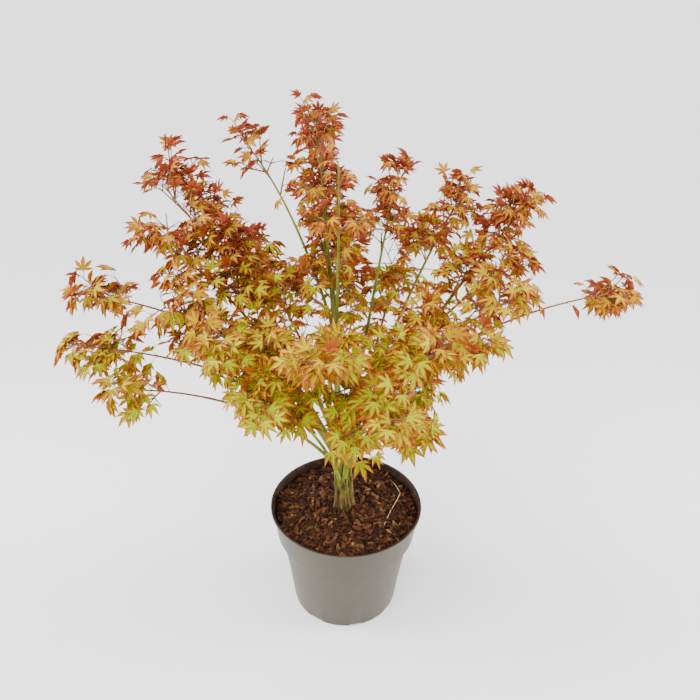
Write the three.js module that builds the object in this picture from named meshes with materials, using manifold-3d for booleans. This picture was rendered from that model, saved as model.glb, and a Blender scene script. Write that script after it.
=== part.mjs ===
// A young japanese maple with many stems, growing in a round nursery pot.
// Millimetres, +Z up. The origin is the centre of the pot's underside.
//
// Each limb is a bare bough and, from the bough's tip on, a foliage mass: a stem, its twigs
// and its leaves, grown by a seeded rule inside a space that the limb has to itself.

import * as THREE from 'three';
import { mergeVertices } from 'three/addons/utils/BufferGeometryUtils.js';
import Module from 'manifold-3d';

const wasm = await Module();
wasm.setup();

// ---------------------------------------------------------------- driving dimensions

const CLEAR = 0.3; // the gap left between neighbouring solids
const FINEST = 0.006; // no edge that a join makes is shorter than this

const POT = {
  height: 150,
  rimRadius: 95,
  lipHeight: 4,
  lipWidth: 3.2,
  collarFoot: 110, // height at which the collar steps in
  collarRadius: 87.5,
  ledgeRadius: 81.5,
  baseRadius: 67,
  wall: 1.8,
  floor: 3.2,
  sides: 40,
};

const NOTCH = { count: 8, width: 15, height: 2.4, depth: 7, turn: 12 };

const SOIL = { edge: 137, crown: 144.7, flat: 20, shoulder: 58, shoulderRise: 4.4 };

const TRUNK = {
  x: -4,
  y: 0,
  lean: 3, // how far the fork stands to the left of the foot
  foot: 145,
  fork: 236,
  footRadius: 12.5,
  forkRadius: 10.5,
  flare: 2.8,
  flareHeight: 12,
  ribs: 5,
  ribDepth: 0.05,
  sides: 15,
  rings: 7,
};

// parent, foot (height on the trunk, or share of the parent bough), heading (degrees),
// reach from the trunk's axis, tip height, thickness at the foot, bare share, arch, spread
const LIMBS = {
  spire: ['trunk', 236, 136, 42, 620, 7.0, 0.4, 0.2, 46],
  spire_left: ['spire', 0.3, 118, 92, 584, 5.0, 0.42, 0.4, 42],
  spire_right: ['trunk', 232, 200, 10, 590, 5.5, 0.44, 0.1, 40],
  crest_left: ['spire', 0.36, 150, 130, 590, 3.2, 0.58, 0.6, 34],
  crest_right: ['trunk', 234, 47, 80, 560, 5.5, 0.42, 0.2, 44],
  high_left: ['trunk', 230, 154, 238, 520, 6.0, 0.46, 0.6, 54],
  upper_left: ['trunk', 222, 168, 222, 484, 5.5, 0.38, 0.7, 60],
  far_left_high: ['upper_left', 0.32, 178, 286, 432, 3.4, 0.76, 0.8, 36],
  mid_left: ['trunk', 214, 184, 196, 430, 4.6, 0.28, 0.8, 66],
  far_left_low: ['mid_left', 0.24, 189, 284, 398, 3.2, 0.7, 0.8, 42],
  low_left: ['trunk', 206, 205, 250, 384, 3.8, 0.74, 0.8, 40],
  front_left_low: ['trunk', 182, 236, 156, 392, 4.2, 0.56, 0.6, 44],
  front_left: ['trunk', 210, 214, 156, 428, 4.4, 0.34, 0.7, 58],
  front: ['trunk', 216, 262, 162, 448, 4.8, 0.44, 0.7, 50],
  front_low: ['trunk', 190, 276, 118, 380, 3.8, 0.46, 0.6, 42],
  front_right_low: ['trunk', 196, 286, 176, 398, 4.4, 0.46, 0.7, 50],
  front_right: ['trunk', 220, 306, 146, 436, 5.0, 0.38, 0.7, 52],
  low_right: ['trunk', 204, 328, 160, 426, 4.0, 0.42, 0.7, 48],
  mid_right: ['trunk', 222, 350, 182, 456, 5.0, 0.32, 0.7, 62],
  far_right: ['mid_right', 0.28, 358, 286, 454, 3.2, 0.8, 0.8, 42],
  upper_right: ['trunk', 228, 18, 208, 520, 8.0, 0.42, 0.3, 56],
  right_side: ['upper_right', 0.34, 4, 186, 474, 3.6, 0.42, 0.6, 52],
  crest_far_right: ['trunk', 232, 40, 172, 520, 6.0, 0.44, 0.3, 50],
  back: ['trunk', 232, 95, 215, 440, 5.0, 0.32, 0.7, 66],
  back_left: ['trunk', 218, 125, 235, 416, 4.6, 0.32, 0.8, 66],
  back_right: ['trunk', 222, 66, 230, 430, 4.6, 0.32, 0.8, 66],
};

const SEED = 3.7;
const FORK_OFFSET = 6; // how far a bough's foot lies from the trunk's axis
const BOUGH = { sides: 5, steps: 6, tip: 0.8 };
const STEM = { sides: 3, steps: 4 };
const TWIG = { sides: 3, steps: 1, gap: 48, shortest: 12, footRadius: 1.3, tipRadius: 0.9 };
const LEAF = {
  gap: 34,
  size: 30,
  hub: 0.85, // distance from the leaf's root to its hub, in leaf sizes
  halfWidth: 0.8,
  thick: 2,
  stagger: 0.7, // how far the two of a pair stand before and behind their node
  sunk: 1.8, // how far the last leaves stand back from the shoot's end
  stalk: 3.5, // the part next to the root that may lie against its own twig
  shrink: [1, 0.94, 0.88, 0.82, 0.74, 0.66], // sizes tried before a leaf is given up
};
const YOUNG = { from: 380, to: 620, largest: 1.14, loss: 0.42 }; // leaves are smaller higher up
const CELL = { stations: 8, outer: 1.12, margin: 0.8, boughClear: 2, trunkClear: 15 };

const COLOURS = {
  pot: '#8f887a',
  soil: '#5a3626',
  bark: '#7d7d3c',
  bough: '#8a8a3a',
  lowLeaf: '#c2a92e',
  highLeaf: '#b8642c',
};

const UP = new THREE.Vector3(0, 0, 1);

// ---------------------------------------------------------------- seeded choice

function chance(a, b, c = 0) {
  const wave = Math.sin(a * 12.9898 + b * 78.233 + c * 37.719 + SEED) * 43758.5453;
  return wave - Math.floor(wave);
}

function vary(low, high, a, b, c) {
  return low + (high - low) * chance(a, b, c);
}

// ---------------------------------------------------------------- vectors

function add(start, ...terms) {
  const sum = start.clone();
  for (const [vector, factor] of terms) sum.addScaledVector(vector, factor);
  return sum;
}

function radians(degrees) {
  return THREE.MathUtils.degToRad(degrees);
}

function sideOf(along) {
  if (Math.abs(along.z) >= 0.97) return new THREE.Vector3(1, 0, 0);
  return new THREE.Vector3().crossVectors(UP, along).normalize();
}

// ---------------------------------------------------------------- solids

function toSolid(geometry, place) {
  geometry.deleteAttribute('normal');
  geometry.deleteAttribute('uv');
  const merged = mergeVertices(geometry, 1e-4);
  const position = merged.attributes.position;
  const corner = new THREE.Vector3();
  for (let i = 0; i < position.count; i += 1) {
    const placed = place(corner.fromBufferAttribute(position, i));
    position.setXYZ(i, placed.x, placed.y, placed.z);
  }
  const triVerts = wholeTriangles(merged.index.array);
  const mesh = new wasm.Mesh({ numProp: 3, vertProperties: position.array, triVerts });
  return new wasm.Manifold(mesh);
}

function wholeTriangles(index) {
  const kept = [];
  for (let i = 0; i < index.length; i += 3) {
    const [a, b, c] = index.slice(i, i + 3);
    if (a !== b && b !== c && c !== a) kept.push(a, b, c);
  }
  return new Uint32Array(kept);
}

function shortestEdge(solid) {
  const { vertProperties, triVerts } = solid.getMesh();
  let shortest = Infinity;
  for (let i = 0; i < triVerts.length; i += 1) {
    const next = i % 3 === 2 ? i - 2 : i + 1;
    const [a, b] = [triVerts[i] * 3, triVerts[next] * 3];
    const edge = [0, 1, 2].map((k) => vertProperties[a + k] - vertProperties[b + k]);
    shortest = Math.min(shortest, Math.hypot(...edge));
  }
  return shortest;
}

function largestPiece(solid) {
  const pieces = solid.decompose();
  return pieces.reduce((best, piece) => (piece.volume() > best.volume() ? piece : best));
}

function toMesh(name, solid, colour, roughness) {
  const { vertProperties, triVerts } = solid.getMesh();
  const geometry = new THREE.BufferGeometry();
  geometry.setAttribute('position', new THREE.BufferAttribute(vertProperties, 3));
  geometry.setIndex(new THREE.BufferAttribute(triVerts, 1));
  geometry.computeVertexNormals();
  const material = new THREE.MeshStandardMaterial({ color: colour, roughness, metalness: 0 });
  const mesh = new THREE.Mesh(geometry, material);
  mesh.name = name;
  return mesh;
}

// A tapering rod along a curve: a closed cylinder whose rings are moved onto the curve.
function rod(curve, radiusAt, sides, steps, margin = 0) {
  const frames = curve.computeFrenetFrames(steps);
  const cylinder = new THREE.CylinderGeometry(1, 1, 1, sides, steps);
  return toSolid(cylinder, (corner) => {
    const share = corner.y + 0.5;
    const ring = Math.round(share * steps);
    const radius = radiusAt(share) + margin;
    return add(
      curve.getPoint(share),
      [frames.normals[ring], corner.x * radius],
      [frames.binormals[ring], -corner.z * radius],
    );
  });
}

// The straight runs that a rod of so many steps follows along a curve.
function chords(curve, steps) {
  const corners = Array.from({ length: steps + 1 }, (_, i) => curve.getPoint(i / steps));
  const path = new THREE.Curve();
  path.getPoint = (share) => {
    const run = Math.min(Math.floor(share * steps), steps - 1);
    return corners[run].clone().lerp(corners[run + 1], share * steps - run);
  };
  return path;
}

function turned(profile, sides) {
  const points = profile.map(([radius, height]) => new THREE.Vector2(radius, height));
  const lathe = new THREE.LatheGeometry(points, sides).rotateX(Math.PI / 2);
  return toSolid(lathe, (corner) => corner);
}

// ---------------------------------------------------------------- pot and soil

function potWallRadius(height) {
  const collar = height > POT.collarFoot;
  const low = collar ? POT.collarFoot : 0;
  const high = collar ? POT.height : POT.collarFoot;
  const share = (height - low) / (high - low);
  const from = collar ? POT.collarRadius : POT.baseRadius;
  const to = collar ? POT.rimRadius - POT.lipWidth + POT.wall : POT.ledgeRadius;
  return from + (to - from) * share;
}

function potSolid() {
  const inner = (height) => potWallRadius(height) - POT.wall;
  const underLip = POT.height - POT.lipHeight;
  const body = turned(
    [
      [0, 0],
      [POT.baseRadius, 0],
      [POT.ledgeRadius, POT.collarFoot],
      [POT.collarRadius, POT.collarFoot + 1],
      [potWallRadius(underLip), underLip],
      [POT.rimRadius, underLip + 0.8],
      [POT.rimRadius, POT.height - 0.8],
      [POT.rimRadius - 0.8, POT.height],
      [inner(POT.height), POT.height],
      [POT.collarRadius - POT.wall, POT.collarFoot + 2],
      [POT.ledgeRadius - POT.wall, POT.collarFoot],
      [inner(POT.floor), POT.floor],
      [0, POT.floor],
    ],
    POT.sides,
  );
  return notches().reduce((pot, notch) => pot.subtract(notch), body);
}

// Shallow drainage notches in the edge of the underside, between the feet.
function notches() {
  return Array.from({ length: NOTCH.count }, (_, i) => {
    const box = new THREE.BoxGeometry(NOTCH.depth * 2, NOTCH.width, NOTCH.height * 2);
    box.translate(POT.baseRadius, 0, 0);
    box.rotateZ(radians(NOTCH.turn + (360 / NOTCH.count) * i));
    return toSolid(box, (corner) => corner);
  });
}

function soilSolid() {
  const fit = (height) => potWallRadius(height) - POT.wall - CLEAR;
  return turned(
    [
      [0, POT.floor + CLEAR],
      [fit(POT.floor), POT.floor + CLEAR],
      [POT.ledgeRadius - POT.wall - CLEAR, POT.collarFoot + CLEAR],
      [POT.collarRadius - POT.wall - CLEAR, POT.collarFoot + 2 + CLEAR],
      [fit(SOIL.edge), SOIL.edge],
      [SOIL.shoulder, SOIL.edge + SOIL.shoulderRise],
      [SOIL.flat, SOIL.crown],
      [0, SOIL.crown],
    ],
    POT.sides,
  );
}

// ---------------------------------------------------------------- trunk

function trunkAxis(height) {
  const share = (height - TRUNK.foot) / (TRUNK.fork - TRUNK.foot);
  return new THREE.Vector3(TRUNK.x - TRUNK.lean * (share - 0.5), TRUNK.y, height);
}

function trunkSolid(margin = 0) {
  const length = TRUNK.fork - TRUNK.foot;
  const cylinder = new THREE.CylinderGeometry(1, 1, 1, TRUNK.sides, TRUNK.rings);
  return toSolid(cylinder, (corner) => {
    const share = corner.y + 0.5;
    const taper = TRUNK.footRadius + (TRUNK.forkRadius - TRUNK.footRadius) * share;
    const flare = TRUNK.flare * Math.exp((-share * length) / TRUNK.flareHeight);
    const rib = 1 + TRUNK.ribDepth * Math.cos(TRUNK.ribs * Math.atan2(corner.z, corner.x));
    const radius = (taper + flare) * rib + margin;
    const top = share > 0.999 ? margin : 0;
    return add(
      trunkAxis(TRUNK.foot + length * share + top),
      [new THREE.Vector3(corner.x, -corner.z, 0), radius],
    );
  });
}

// ---------------------------------------------------------------- limbs

class Limb {
  constructor(name, row, number, limbs) {
    const [parent, foot, heading, reach, tip, thick, bare, arch, spread] = row;
    Object.assign(this, { name, number, thick, bare, spread, tip });
    const out = new THREE.Vector3(Math.cos(radians(heading)), Math.sin(radians(heading)), 0);
    const start = parent === 'trunk'
      ? add(trunkAxis(foot), [out, FORK_OFFSET])
      : limbs[parent].curve.getPoint(foot);
    const end = add(new THREE.Vector3(TRUNK.x, TRUNK.y, tip), [out, reach]);
    this.curve = this.archedCurve(start, end, arch);
  }

  archedCurve(start, end, arch) {
    const span = end.clone().sub(start);
    const rise = UP.clone().multiplyScalar(span.z);
    const flat = span.clone().sub(rise);
    const side = new THREE.Vector3().crossVectors(UP, flat).normalize();
    const sway = (chance(this.number, 1) - 0.5) * 0.12 * span.length();
    return new THREE.CubicBezierCurve3(
      start,
      add(start, [flat, 0.33 - 0.15 * arch], [rise, 0.33 + 0.15 * arch], [side, sway]),
      add(start, [flat, 0.66 - 0.1 * arch], [rise, 0.66 + 0.28 * arch], [side, -sway / 2]),
      end,
    );
  }

  radiusAt(share) {
    return 0.425 * this.thick * (1 - share) ** 0.7 + BOUGH.tip;
  }

  // The limb's curve from one share to another, as a curve of its own.
  stretch(from, to) {
    const whole = this.curve;
    const part = new THREE.Curve();
    part.getPoint = (share) => whole.getPoint(from + (to - from) * share);
    return part;
  }

  // The foliage mass's stem, from a clearance beyond the bough's tip to the limb's tip.
  stem() {
    const start = this.bare + (CLEAR * 1.2) / this.curve.getLength();
    return chords(this.stretch(start, 1), STEM.steps);
  }

  boughSolid(margin = 0) {
    const run = this.stretch(0, this.bare);
    return rod(run, (s) => this.radiusAt(s * this.bare), BOUGH.sides, BOUGH.steps, margin);
  }
}

function makeLimbs() {
  const limbs = {};
  Object.entries(LIMBS).forEach(([name, row], i) => {
    limbs[name] = new Limb(name, row, i + 1, limbs);
  });
  return limbs;
}

// ---------------------------------------------------------------- each mass's own space

function stations(curve) {
  return Array.from({ length: CELL.stations + 1 }, (_, i) => curve.getPoint(i / CELL.stations));
}

function distanceTo(points, place) {
  const line = new THREE.Line3();
  const nearest = new THREE.Vector3();
  let best = Infinity;
  for (let i = 1; i < points.length; i += 1) {
    line.set(points[i - 1], points[i]).closestPointToPoint(place, true, nearest);
    best = Math.min(best, nearest.distanceTo(place));
  }
  return best;
}

class Spaces {
  constructor(limbs) {
    this.cells = limbs.map((limb) => ({
      limb,
      stem: stations(limb.stretch(limb.bare, 1)),
      bough: stations(limb.stretch(0, limb.bare)),
    }));
    this.trunk = [trunkAxis(TRUNK.foot - 20), trunkAxis(TRUNK.fork)];
  }

  // True where a place is nearer to the limb's own stem, for its spread, than to any other.
  holds(limb, place) {
    const own = this.cells.find((cell) => cell.limb === limb);
    const ownShare = distanceTo(own.stem, place) / limb.spread;
    if (ownShare > CELL.outer) return false;
    if (distanceTo(this.trunk, place) < CELL.trunkClear) return false;
    return this.cells.every((cell) => {
      const boughGap = distanceTo(cell.bough, place) - cell.limb.thick / 2 - CELL.boughClear;
      if (boughGap < 0) return false;
      if (cell === own) return true;
      const share = distanceTo(cell.stem, place) / cell.limb.spread;
      return (share - ownShare) * Math.min(cell.limb.spread, limb.spread) > CELL.margin;
    });
  }
}

// ---------------------------------------------------------------- twigs and leaves

function twigsOf(limb, spaces) {
  const stem = limb.stem();
  const pairs = Math.max(1, Math.floor(stem.getLength() / TWIG.gap));
  const twigs = [];
  for (let k = 0; k < pairs; k += 1) {
    const share = (k + 0.45) / pairs;
    for (const hand of [1, -1]) {
      const number = 1 + k * 2 + (hand > 0 ? 1 : 0);
      const curve = twigCurve(limb, stem, share, hand, k, number, spaces);
      if (curve) twigs.push({ curve, number });
    }
  }
  return twigs;
}

function twigCurve(limb, stem, share, hand, pair, number, spaces) {
  const at = stem.getPoint(share);
  const along = stem.getTangent(share);
  const side = sideOf(along);
  const lift = new THREE.Vector3().crossVectors(along, side);
  const i = limb.number;
  const roll = radians((pair % 2) * 90 * Math.abs(along.z) + vary(-25, 25, i, number, 31));
  const angle = radians(vary(38, 62, i, number, 32));
  const heading = add(
    along.clone().multiplyScalar(Math.cos(angle)),
    [side, Math.cos(roll) * hand * Math.sin(angle)],
    [lift, Math.sin(roll) * Math.sin(angle)],
  ).normalize();
  const tilt = vary(-0.18, 0.12, i, number, 34);
  let length = limb.spread * vary(0.75, 1.15, i, number, 33) * (1 - 0.45 * share);
  while (length > TWIG.shortest) {
    const curve = new THREE.LineCurve3(at, add(at, [heading, length], [UP, length * tilt]));
    const inside = [0.5, 1].every((s) => spaces.holds(limb, curve.getPoint(s)));
    if (inside) return curve;
    length *= 0.8;
  }
  return null;
}

// Leaves in opposite pairs along a shoot, each pair turned against the last, one at its tip.
function leavesAlong(limb, shoot, number, first) {
  const length = shoot.getLength();
  const count = Math.max(1, Math.round((length * (1 - first)) / LEAF.gap));
  const last = 1 - LEAF.sunk / length;
  const leaves = [];
  for (let k = 0; k <= count; k += 1) {
    const share = first + ((last - first) * k) / count;
    const hands = k < count ? [1, -1] : [1, -1, 0];
    for (const hand of hands) {
      const place = share - (hand * LEAF.stagger) / length;
      leaves.push(leafAt(limb, shoot, place, hand, k, number * 20 + k));
    }
  }
  return leaves;
}

function leafAt(limb, shoot, share, hand, pair, number) {
  const i = limb.number;
  const pick = (low, high, salt) => vary(low, high, i, number, salt + hand);
  const at = shoot.getPoint(share);
  const along = shoot.getTangent(share);
  const side = sideOf(along);
  const lift = new THREE.Vector3().crossVectors(along, side);
  const roll = radians((pair % 2) * 90 * Math.abs(along.z) + pick(-30, 30, 5));
  const splay = radians(hand ? pick(45, 75, 8) : pick(-15, 15, 8));
  const axis = add(
    along.clone().multiplyScalar(Math.cos(splay)),
    [side, Math.cos(roll) * (hand || 1) * Math.sin(splay)],
    [lift, Math.sin(roll) * Math.sin(splay)],
  ).normalize();
  axis.addScaledVector(UP, -pick(0.05, 0.75, 11)).normalize();
  const out = new THREE.Vector3(at.x - TRUNK.x, at.y, 0).normalize();
  const face = add(
    UP.clone().multiplyScalar(pick(0.6, 1.2, 14)),
    [out, pick(-0.1, 0.6, 17)],
    [side, pick(-0.4, 0.4, 20)],
  ).normalize();
  if (Math.abs(face.dot(axis)) > 0.9) face.crossVectors(axis, side);
  face.addScaledVector(axis, -face.dot(axis)).normalize();
  const high = THREE.MathUtils.clamp((limb.tip - YOUNG.from) / (YOUNG.to - YOUNG.from), 0, 1);
  const size = LEAF.size * pick(0.75, 1.1, 23) * (YOUNG.largest - YOUNG.loss * high);
  return { at, axis, face, size };
}

// A place on a leaf: 1 along is its tip and -1 its root, 1 and -1 across are its side lobes.
function leafPlace(leaf, along, across, height = 0, margin = 0) {
  const { at, axis, face, size } = leaf;
  const reach = along > 0 ? size + margin : LEAF.hub * size - (margin ? LEAF.stalk : 0);
  return add(
    at,
    [axis, LEAF.hub * size + along * reach],
    [new THREE.Vector3().crossVectors(axis, face), across * (LEAF.halfWidth * size + margin)],
    [face, height * (LEAF.thick / 2 + margin)],
  );
}

// A leaf is a thin kite of four faces, its side lobes a little above its root and its tip,
// its root sunk to the middle of the shoot that carries it.
function leafSolid(leaf, margin = 0) {
  return toSolid(new THREE.TetrahedronGeometry(1), (corner) => {
    const end = Math.sign(corner.x);
    if (corner.z > 0) return leafPlace(leaf, 0, -end, 1, margin);
    return leafPlace(leaf, end, 0, end > 0 ? -1 : 0, margin);
  });
}

const LEAF_PROBES = [[1, 0], [0, 1], [0, -1], [0, 0], [0.5, 0.5], [0.5, -0.5]];

// ---------------------------------------------------------------- growing without a touch

class Grown {
  constructor() {
    this.parts = [];
    this.hinderers = [];
  }

  hinder(solid) {
    this.hinderers.push(solid);
    this.keep('limbs', solid);
  }

  // What the trunk and the boughs so far, with their clearance, leave of a solid.
  cutBack(solid) {
    return largestPiece(this.hinderers.reduce((rest, other) => rest.subtract(other), solid));
  }

  keep(owner, solid) {
    this.parts.push({ owner, solid, box: solid.boundingBox() });
  }

  // True where a solid meets none of the parts kept so far, apart from one owner's.
  clears(solid, owner) {
    const box = solid.boundingBox();
    const near = this.parts.filter((part) => part.owner !== owner && boxesMeet(part.box, box));
    return near.every((part) => part.solid.intersect(solid).isEmpty());
  }
}

function boxesMeet(one, other) {
  return [0, 1, 2].every((k) => one.min[k] <= other.max[k] && other.min[k] <= one.max[k]);
}

// A bough is cut back by the trunk and by the boughs before it, and keeps its outer piece.
function growBoughs(limbs, grown) {
  grown.hinder(trunkSolid(CLEAR));
  return limbs.map((limb) => {
    const bough = grown.cutBack(limb.boughSolid());
    grown.hinder(limb.boughSolid(CLEAR));
    return bough;
  });
}

function stemSolid(limb) {
  const radiusAt = (s) => limb.radiusAt(limb.bare + (1 - limb.bare) * s);
  return rod(limb.stem(), radiusAt, STEM.sides, STEM.steps);
}

function twigSolid(curve, margin = 0) {
  const radiusAt = (s) => TWIG.footRadius + (TWIG.tipRadius - TWIG.footRadius) * s;
  return rod(curve, radiusAt, TWIG.sides, TWIG.steps, margin);
}

// One limb's foliage, joined part by part from its stem. A part that would touch anything
// else, or would leave an edge too short to keep, isn't taken on.
class Mass {
  constructor(limb, spaces, grown) {
    Object.assign(this, { limb, spaces, grown });
    this.solid = grown.cutBack(stemSolid(limb));
    grown.keep(limb.name, this.solid);
  }

  join(part) {
    const joined = this.solid.add(part);
    if (shortestEdge(joined) < FINEST) return false;
    this.solid = joined;
    this.grown.keep(this.limb.name, part);
    return true;
  }

  joinTwig(curve) {
    return this.grown.clears(twigSolid(curve, CLEAR), this.limb.name) && this.join(twigSolid(curve));
  }

  // Joins the leaf at the largest size that stays in the space and touches nothing.
  joinLeaf(wished) {
    return LEAF.shrink.some((shrink) => {
      const leaf = { ...wished, size: wished.size * shrink };
      const places = LEAF_PROBES.map((probe) => leafPlace(leaf, ...probe));
      if (!places.every((place) => this.spaces.holds(this.limb, place))) return false;
      return this.grown.clears(leafSolid(leaf, CLEAR)) && this.join(leafSolid(leaf));
    });
  }
}

function growMass(limb, spaces, grown) {
  const mass = new Mass(limb, spaces, grown);
  const twigs = twigsOf(limb, spaces).filter(({ curve }) => mass.joinTwig(curve));
  const shoots = [{ curve: limb.stem(), number: 0, first: 0.15 }];
  shoots.push(...twigs.map((twig) => ({ ...twig, first: 0.4 })));
  for (const { curve, number, first } of shoots) {
    leavesAlong(limb, curve, number, first).forEach((leaf) => mass.joinLeaf(leaf));
  }
  return largestPiece(mass.solid);
}

function massColour(limb) {
  const high = THREE.MathUtils.clamp((limb.tip - YOUNG.from) / (YOUNG.to - YOUNG.from), 0, 1);
  return new THREE.Color(COLOURS.lowLeaf).lerp(new THREE.Color(COLOURS.highLeaf), high);
}

// ---------------------------------------------------------------- the whole plant

function buildPlant() {
  const plant = new THREE.Group();
  const limbs = Object.values(makeLimbs());
  const spaces = new Spaces(limbs);
  const grown = new Grown();
  plant.add(toMesh('pot', potSolid(), COLOURS.pot, 0.55));
  plant.add(toMesh('soil', soilSolid(), COLOURS.soil, 0.95));
  plant.add(toMesh('trunk', trunkSolid(), COLOURS.bark, 0.8));
  const boughs = growBoughs(limbs, grown);
  limbs.forEach((limb, i) => {
    plant.add(toMesh(`${limb.name}_bough`, boughs[i], COLOURS.bough, 0.7));
    plant.add(toMesh(`${limb.name}_foliage`, growMass(limb, spaces, grown), massColour(limb), 0.6));
  });
  return plant;
}

export default buildPlant();
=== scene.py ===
import math

import bpy
import numpy as np
from mathutils import Euler, Matrix, Vector


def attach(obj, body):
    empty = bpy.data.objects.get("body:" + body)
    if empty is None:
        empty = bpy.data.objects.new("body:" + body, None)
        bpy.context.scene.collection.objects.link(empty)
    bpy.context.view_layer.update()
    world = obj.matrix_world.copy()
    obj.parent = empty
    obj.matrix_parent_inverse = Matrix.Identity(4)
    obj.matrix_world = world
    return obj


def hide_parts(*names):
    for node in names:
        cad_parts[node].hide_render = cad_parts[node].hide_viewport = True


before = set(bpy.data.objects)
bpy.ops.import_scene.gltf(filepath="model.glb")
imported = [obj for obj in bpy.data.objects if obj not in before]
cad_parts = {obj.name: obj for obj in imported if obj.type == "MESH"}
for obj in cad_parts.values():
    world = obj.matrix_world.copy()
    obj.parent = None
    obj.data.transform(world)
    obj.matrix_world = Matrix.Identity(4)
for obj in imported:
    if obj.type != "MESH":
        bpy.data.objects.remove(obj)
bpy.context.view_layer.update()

bl_info = {
    "name": "Potted Japanese Maple",
    "version": (1, 0, 0),
    "blender": (4, 5, 0),
    "location": "View3D > Sidebar > Maple",
    "description": "Dresses a young many-stemmed maple in a nursery pot",
    "category": "Object",
}

MM = 0.001
BODY = "root"

# ---------------------------------------------------------------- sizes of the solids (mm)

POT = {
    "height": 150.0,
    "rim_radius": 95.0,
    "lip_height": 4.0,
    "lip_width": 3.2,
    "collar_foot": 110.0,
    "collar_radius": 87.5,
    "ledge_radius": 81.5,
    "base_radius": 67.0,
    "wall": 1.8,
    "floor": 3.2,
}
NOTCH = {"count": 8, "width": 15.0, "height": 2.4, "depth": 7.0, "turn": 12.0}
SOIL = {"edge": 137.0, "crown": 144.7, "flat": 20.0, "shoulder": 58.0, "shoulder_rise": 4.4}
TRUNK = {
    "x": -4.0,
    "y": 0.0,
    "lean": 3.0,
    "foot": 145.0,
    "fork": 236.0,
    "foot_radius": 12.5,
    "fork_radius": 10.5,
    "flare": 2.8,
    "flare_height": 12.0,
}

# parent, foot (height on the trunk, or share of the parent bough), heading (degrees),
# reach from the trunk's axis, tip height, thickness at the foot, bare share, arch, spread
LIMBS = {
    "spire": ("trunk", 236, 136, 42, 620, 7.0, 0.4, 0.2, 46),
    "spire_left": ("spire", 0.3, 118, 92, 584, 5.0, 0.42, 0.4, 42),
    "spire_right": ("trunk", 232, 200, 10, 590, 5.5, 0.44, 0.1, 40),
    "crest_left": ("spire", 0.36, 150, 130, 590, 3.2, 0.58, 0.6, 34),
    "crest_right": ("trunk", 234, 47, 80, 560, 5.5, 0.42, 0.2, 44),
    "high_left": ("trunk", 230, 154, 238, 520, 6.0, 0.46, 0.6, 54),
    "upper_left": ("trunk", 222, 168, 222, 484, 5.5, 0.38, 0.7, 60),
    "far_left_high": ("upper_left", 0.32, 178, 286, 432, 3.4, 0.76, 0.8, 36),
    "mid_left": ("trunk", 214, 184, 196, 430, 4.6, 0.28, 0.8, 66),
    "far_left_low": ("mid_left", 0.24, 189, 284, 398, 3.2, 0.7, 0.8, 42),
    "low_left": ("trunk", 206, 205, 250, 384, 3.8, 0.74, 0.8, 40),
    "front_left_low": ("trunk", 182, 236, 156, 392, 4.2, 0.56, 0.6, 44),
    "front_left": ("trunk", 210, 214, 156, 428, 4.4, 0.34, 0.7, 58),
    "front": ("trunk", 216, 262, 162, 448, 4.8, 0.44, 0.7, 50),
    "front_low": ("trunk", 190, 276, 118, 380, 3.8, 0.46, 0.6, 42),
    "front_right_low": ("trunk", 196, 286, 176, 398, 4.4, 0.46, 0.7, 50),
    "front_right": ("trunk", 220, 306, 146, 436, 5.0, 0.38, 0.7, 52),
    "low_right": ("trunk", 204, 328, 160, 426, 4.0, 0.42, 0.7, 48),
    "mid_right": ("trunk", 222, 350, 182, 456, 5.0, 0.32, 0.7, 62),
    "far_right": ("mid_right", 0.28, 358, 286, 454, 3.2, 0.8, 0.8, 42),
    "upper_right": ("trunk", 228, 18, 208, 520, 8.0, 0.42, 0.3, 56),
    "right_side": ("upper_right", 0.34, 4, 186, 474, 3.6, 0.42, 0.6, 52),
    "crest_far_right": ("trunk", 232, 40, 172, 520, 6.0, 0.44, 0.3, 50),
    "back": ("trunk", 232, 95, 215, 440, 5.0, 0.32, 0.7, 66),
    "back_left": ("trunk", 218, 125, 235, 416, 4.6, 0.32, 0.8, 66),
    "back_right": ("trunk", 222, 66, 230, 430, 4.6, 0.32, 0.8, 66),
}
SEED = 3.7
FORK_OFFSET = 6.0
# A bough's radius at its foot, as a share of its thickness, its taper and its tip's radius.
BOUGH = {"foot": 0.425, "taper": 0.7, "tip": 0.8}
# Foliage keeps to its limb's spread, times outer, and to the side of the limb that is nearest
# for its spread, give or take the overlap. It stays clear of boughs and trunk.
CELL = {"stations": 8, "outer": 1.12, "overlap": 14.0, "bough_clear": 1.5, "trunk_clear": 14.0,
        "trunk_below": 20.0}
# Leaves are largest on limbs with low tips, and lose this share of the size up to the highest.
YOUNG = {"from": 370.0, "to": 620.0, "largest": 1.24, "loss": 0.42}
# Twigs stand in pairs, gap apart, with spurs past each pair. They are cut shorter until they fit,
# lose length towards the tip, bow up a little and bear leaves from a share of their length on.
TWIG = {"gap": 48.0, "node": 0.45, "spur": 0.92, "shortest": 12.0, "shorter": 0.8,
        "tip_loss": 0.45, "bare": 0.35, "bow": 0.03}
SIDE_TWIG = {"gap": 21.0, "first": 0.22, "over": 0.6, "share": 0.55, "shortest": 8.0}

# ---------------------------------------------------------------- sizes of the dressed pieces (mm)

# Where the pot's wall swells between its foot and its ledge, as (radius, height).
POT_BELLY = ((72.0, 40.0), (77.0, 76.0))
# From this ring of its section on, at the top of the lip, the pot is dark: compost stain and
# painted shade of the inner wall under the rim. Its edges look sharp from this angle on (degrees).
STAINED_AND_SHADED_RING = 20
CREASE_ANGLE = 38
# The inside of the wall, at three heights, that nothing strewn over the soil stands out of.
WALL_INSIDE = {"heights": (110.0, 113.0, 146.0), "radii": (79.0, 84.6, 90.6)}
# The bed slopes down to the wall, swells a little away from the trunk, and its crumbs get lower
# close to its edge.
BED = {"sides": 132, "rings": 46, "middle": 0.4, "edge": 90.1, "wall": 92.0, "fade": 4.0,
       "least": 0.3, "swell": 0.9, "swell_from": 40.0}
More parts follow.
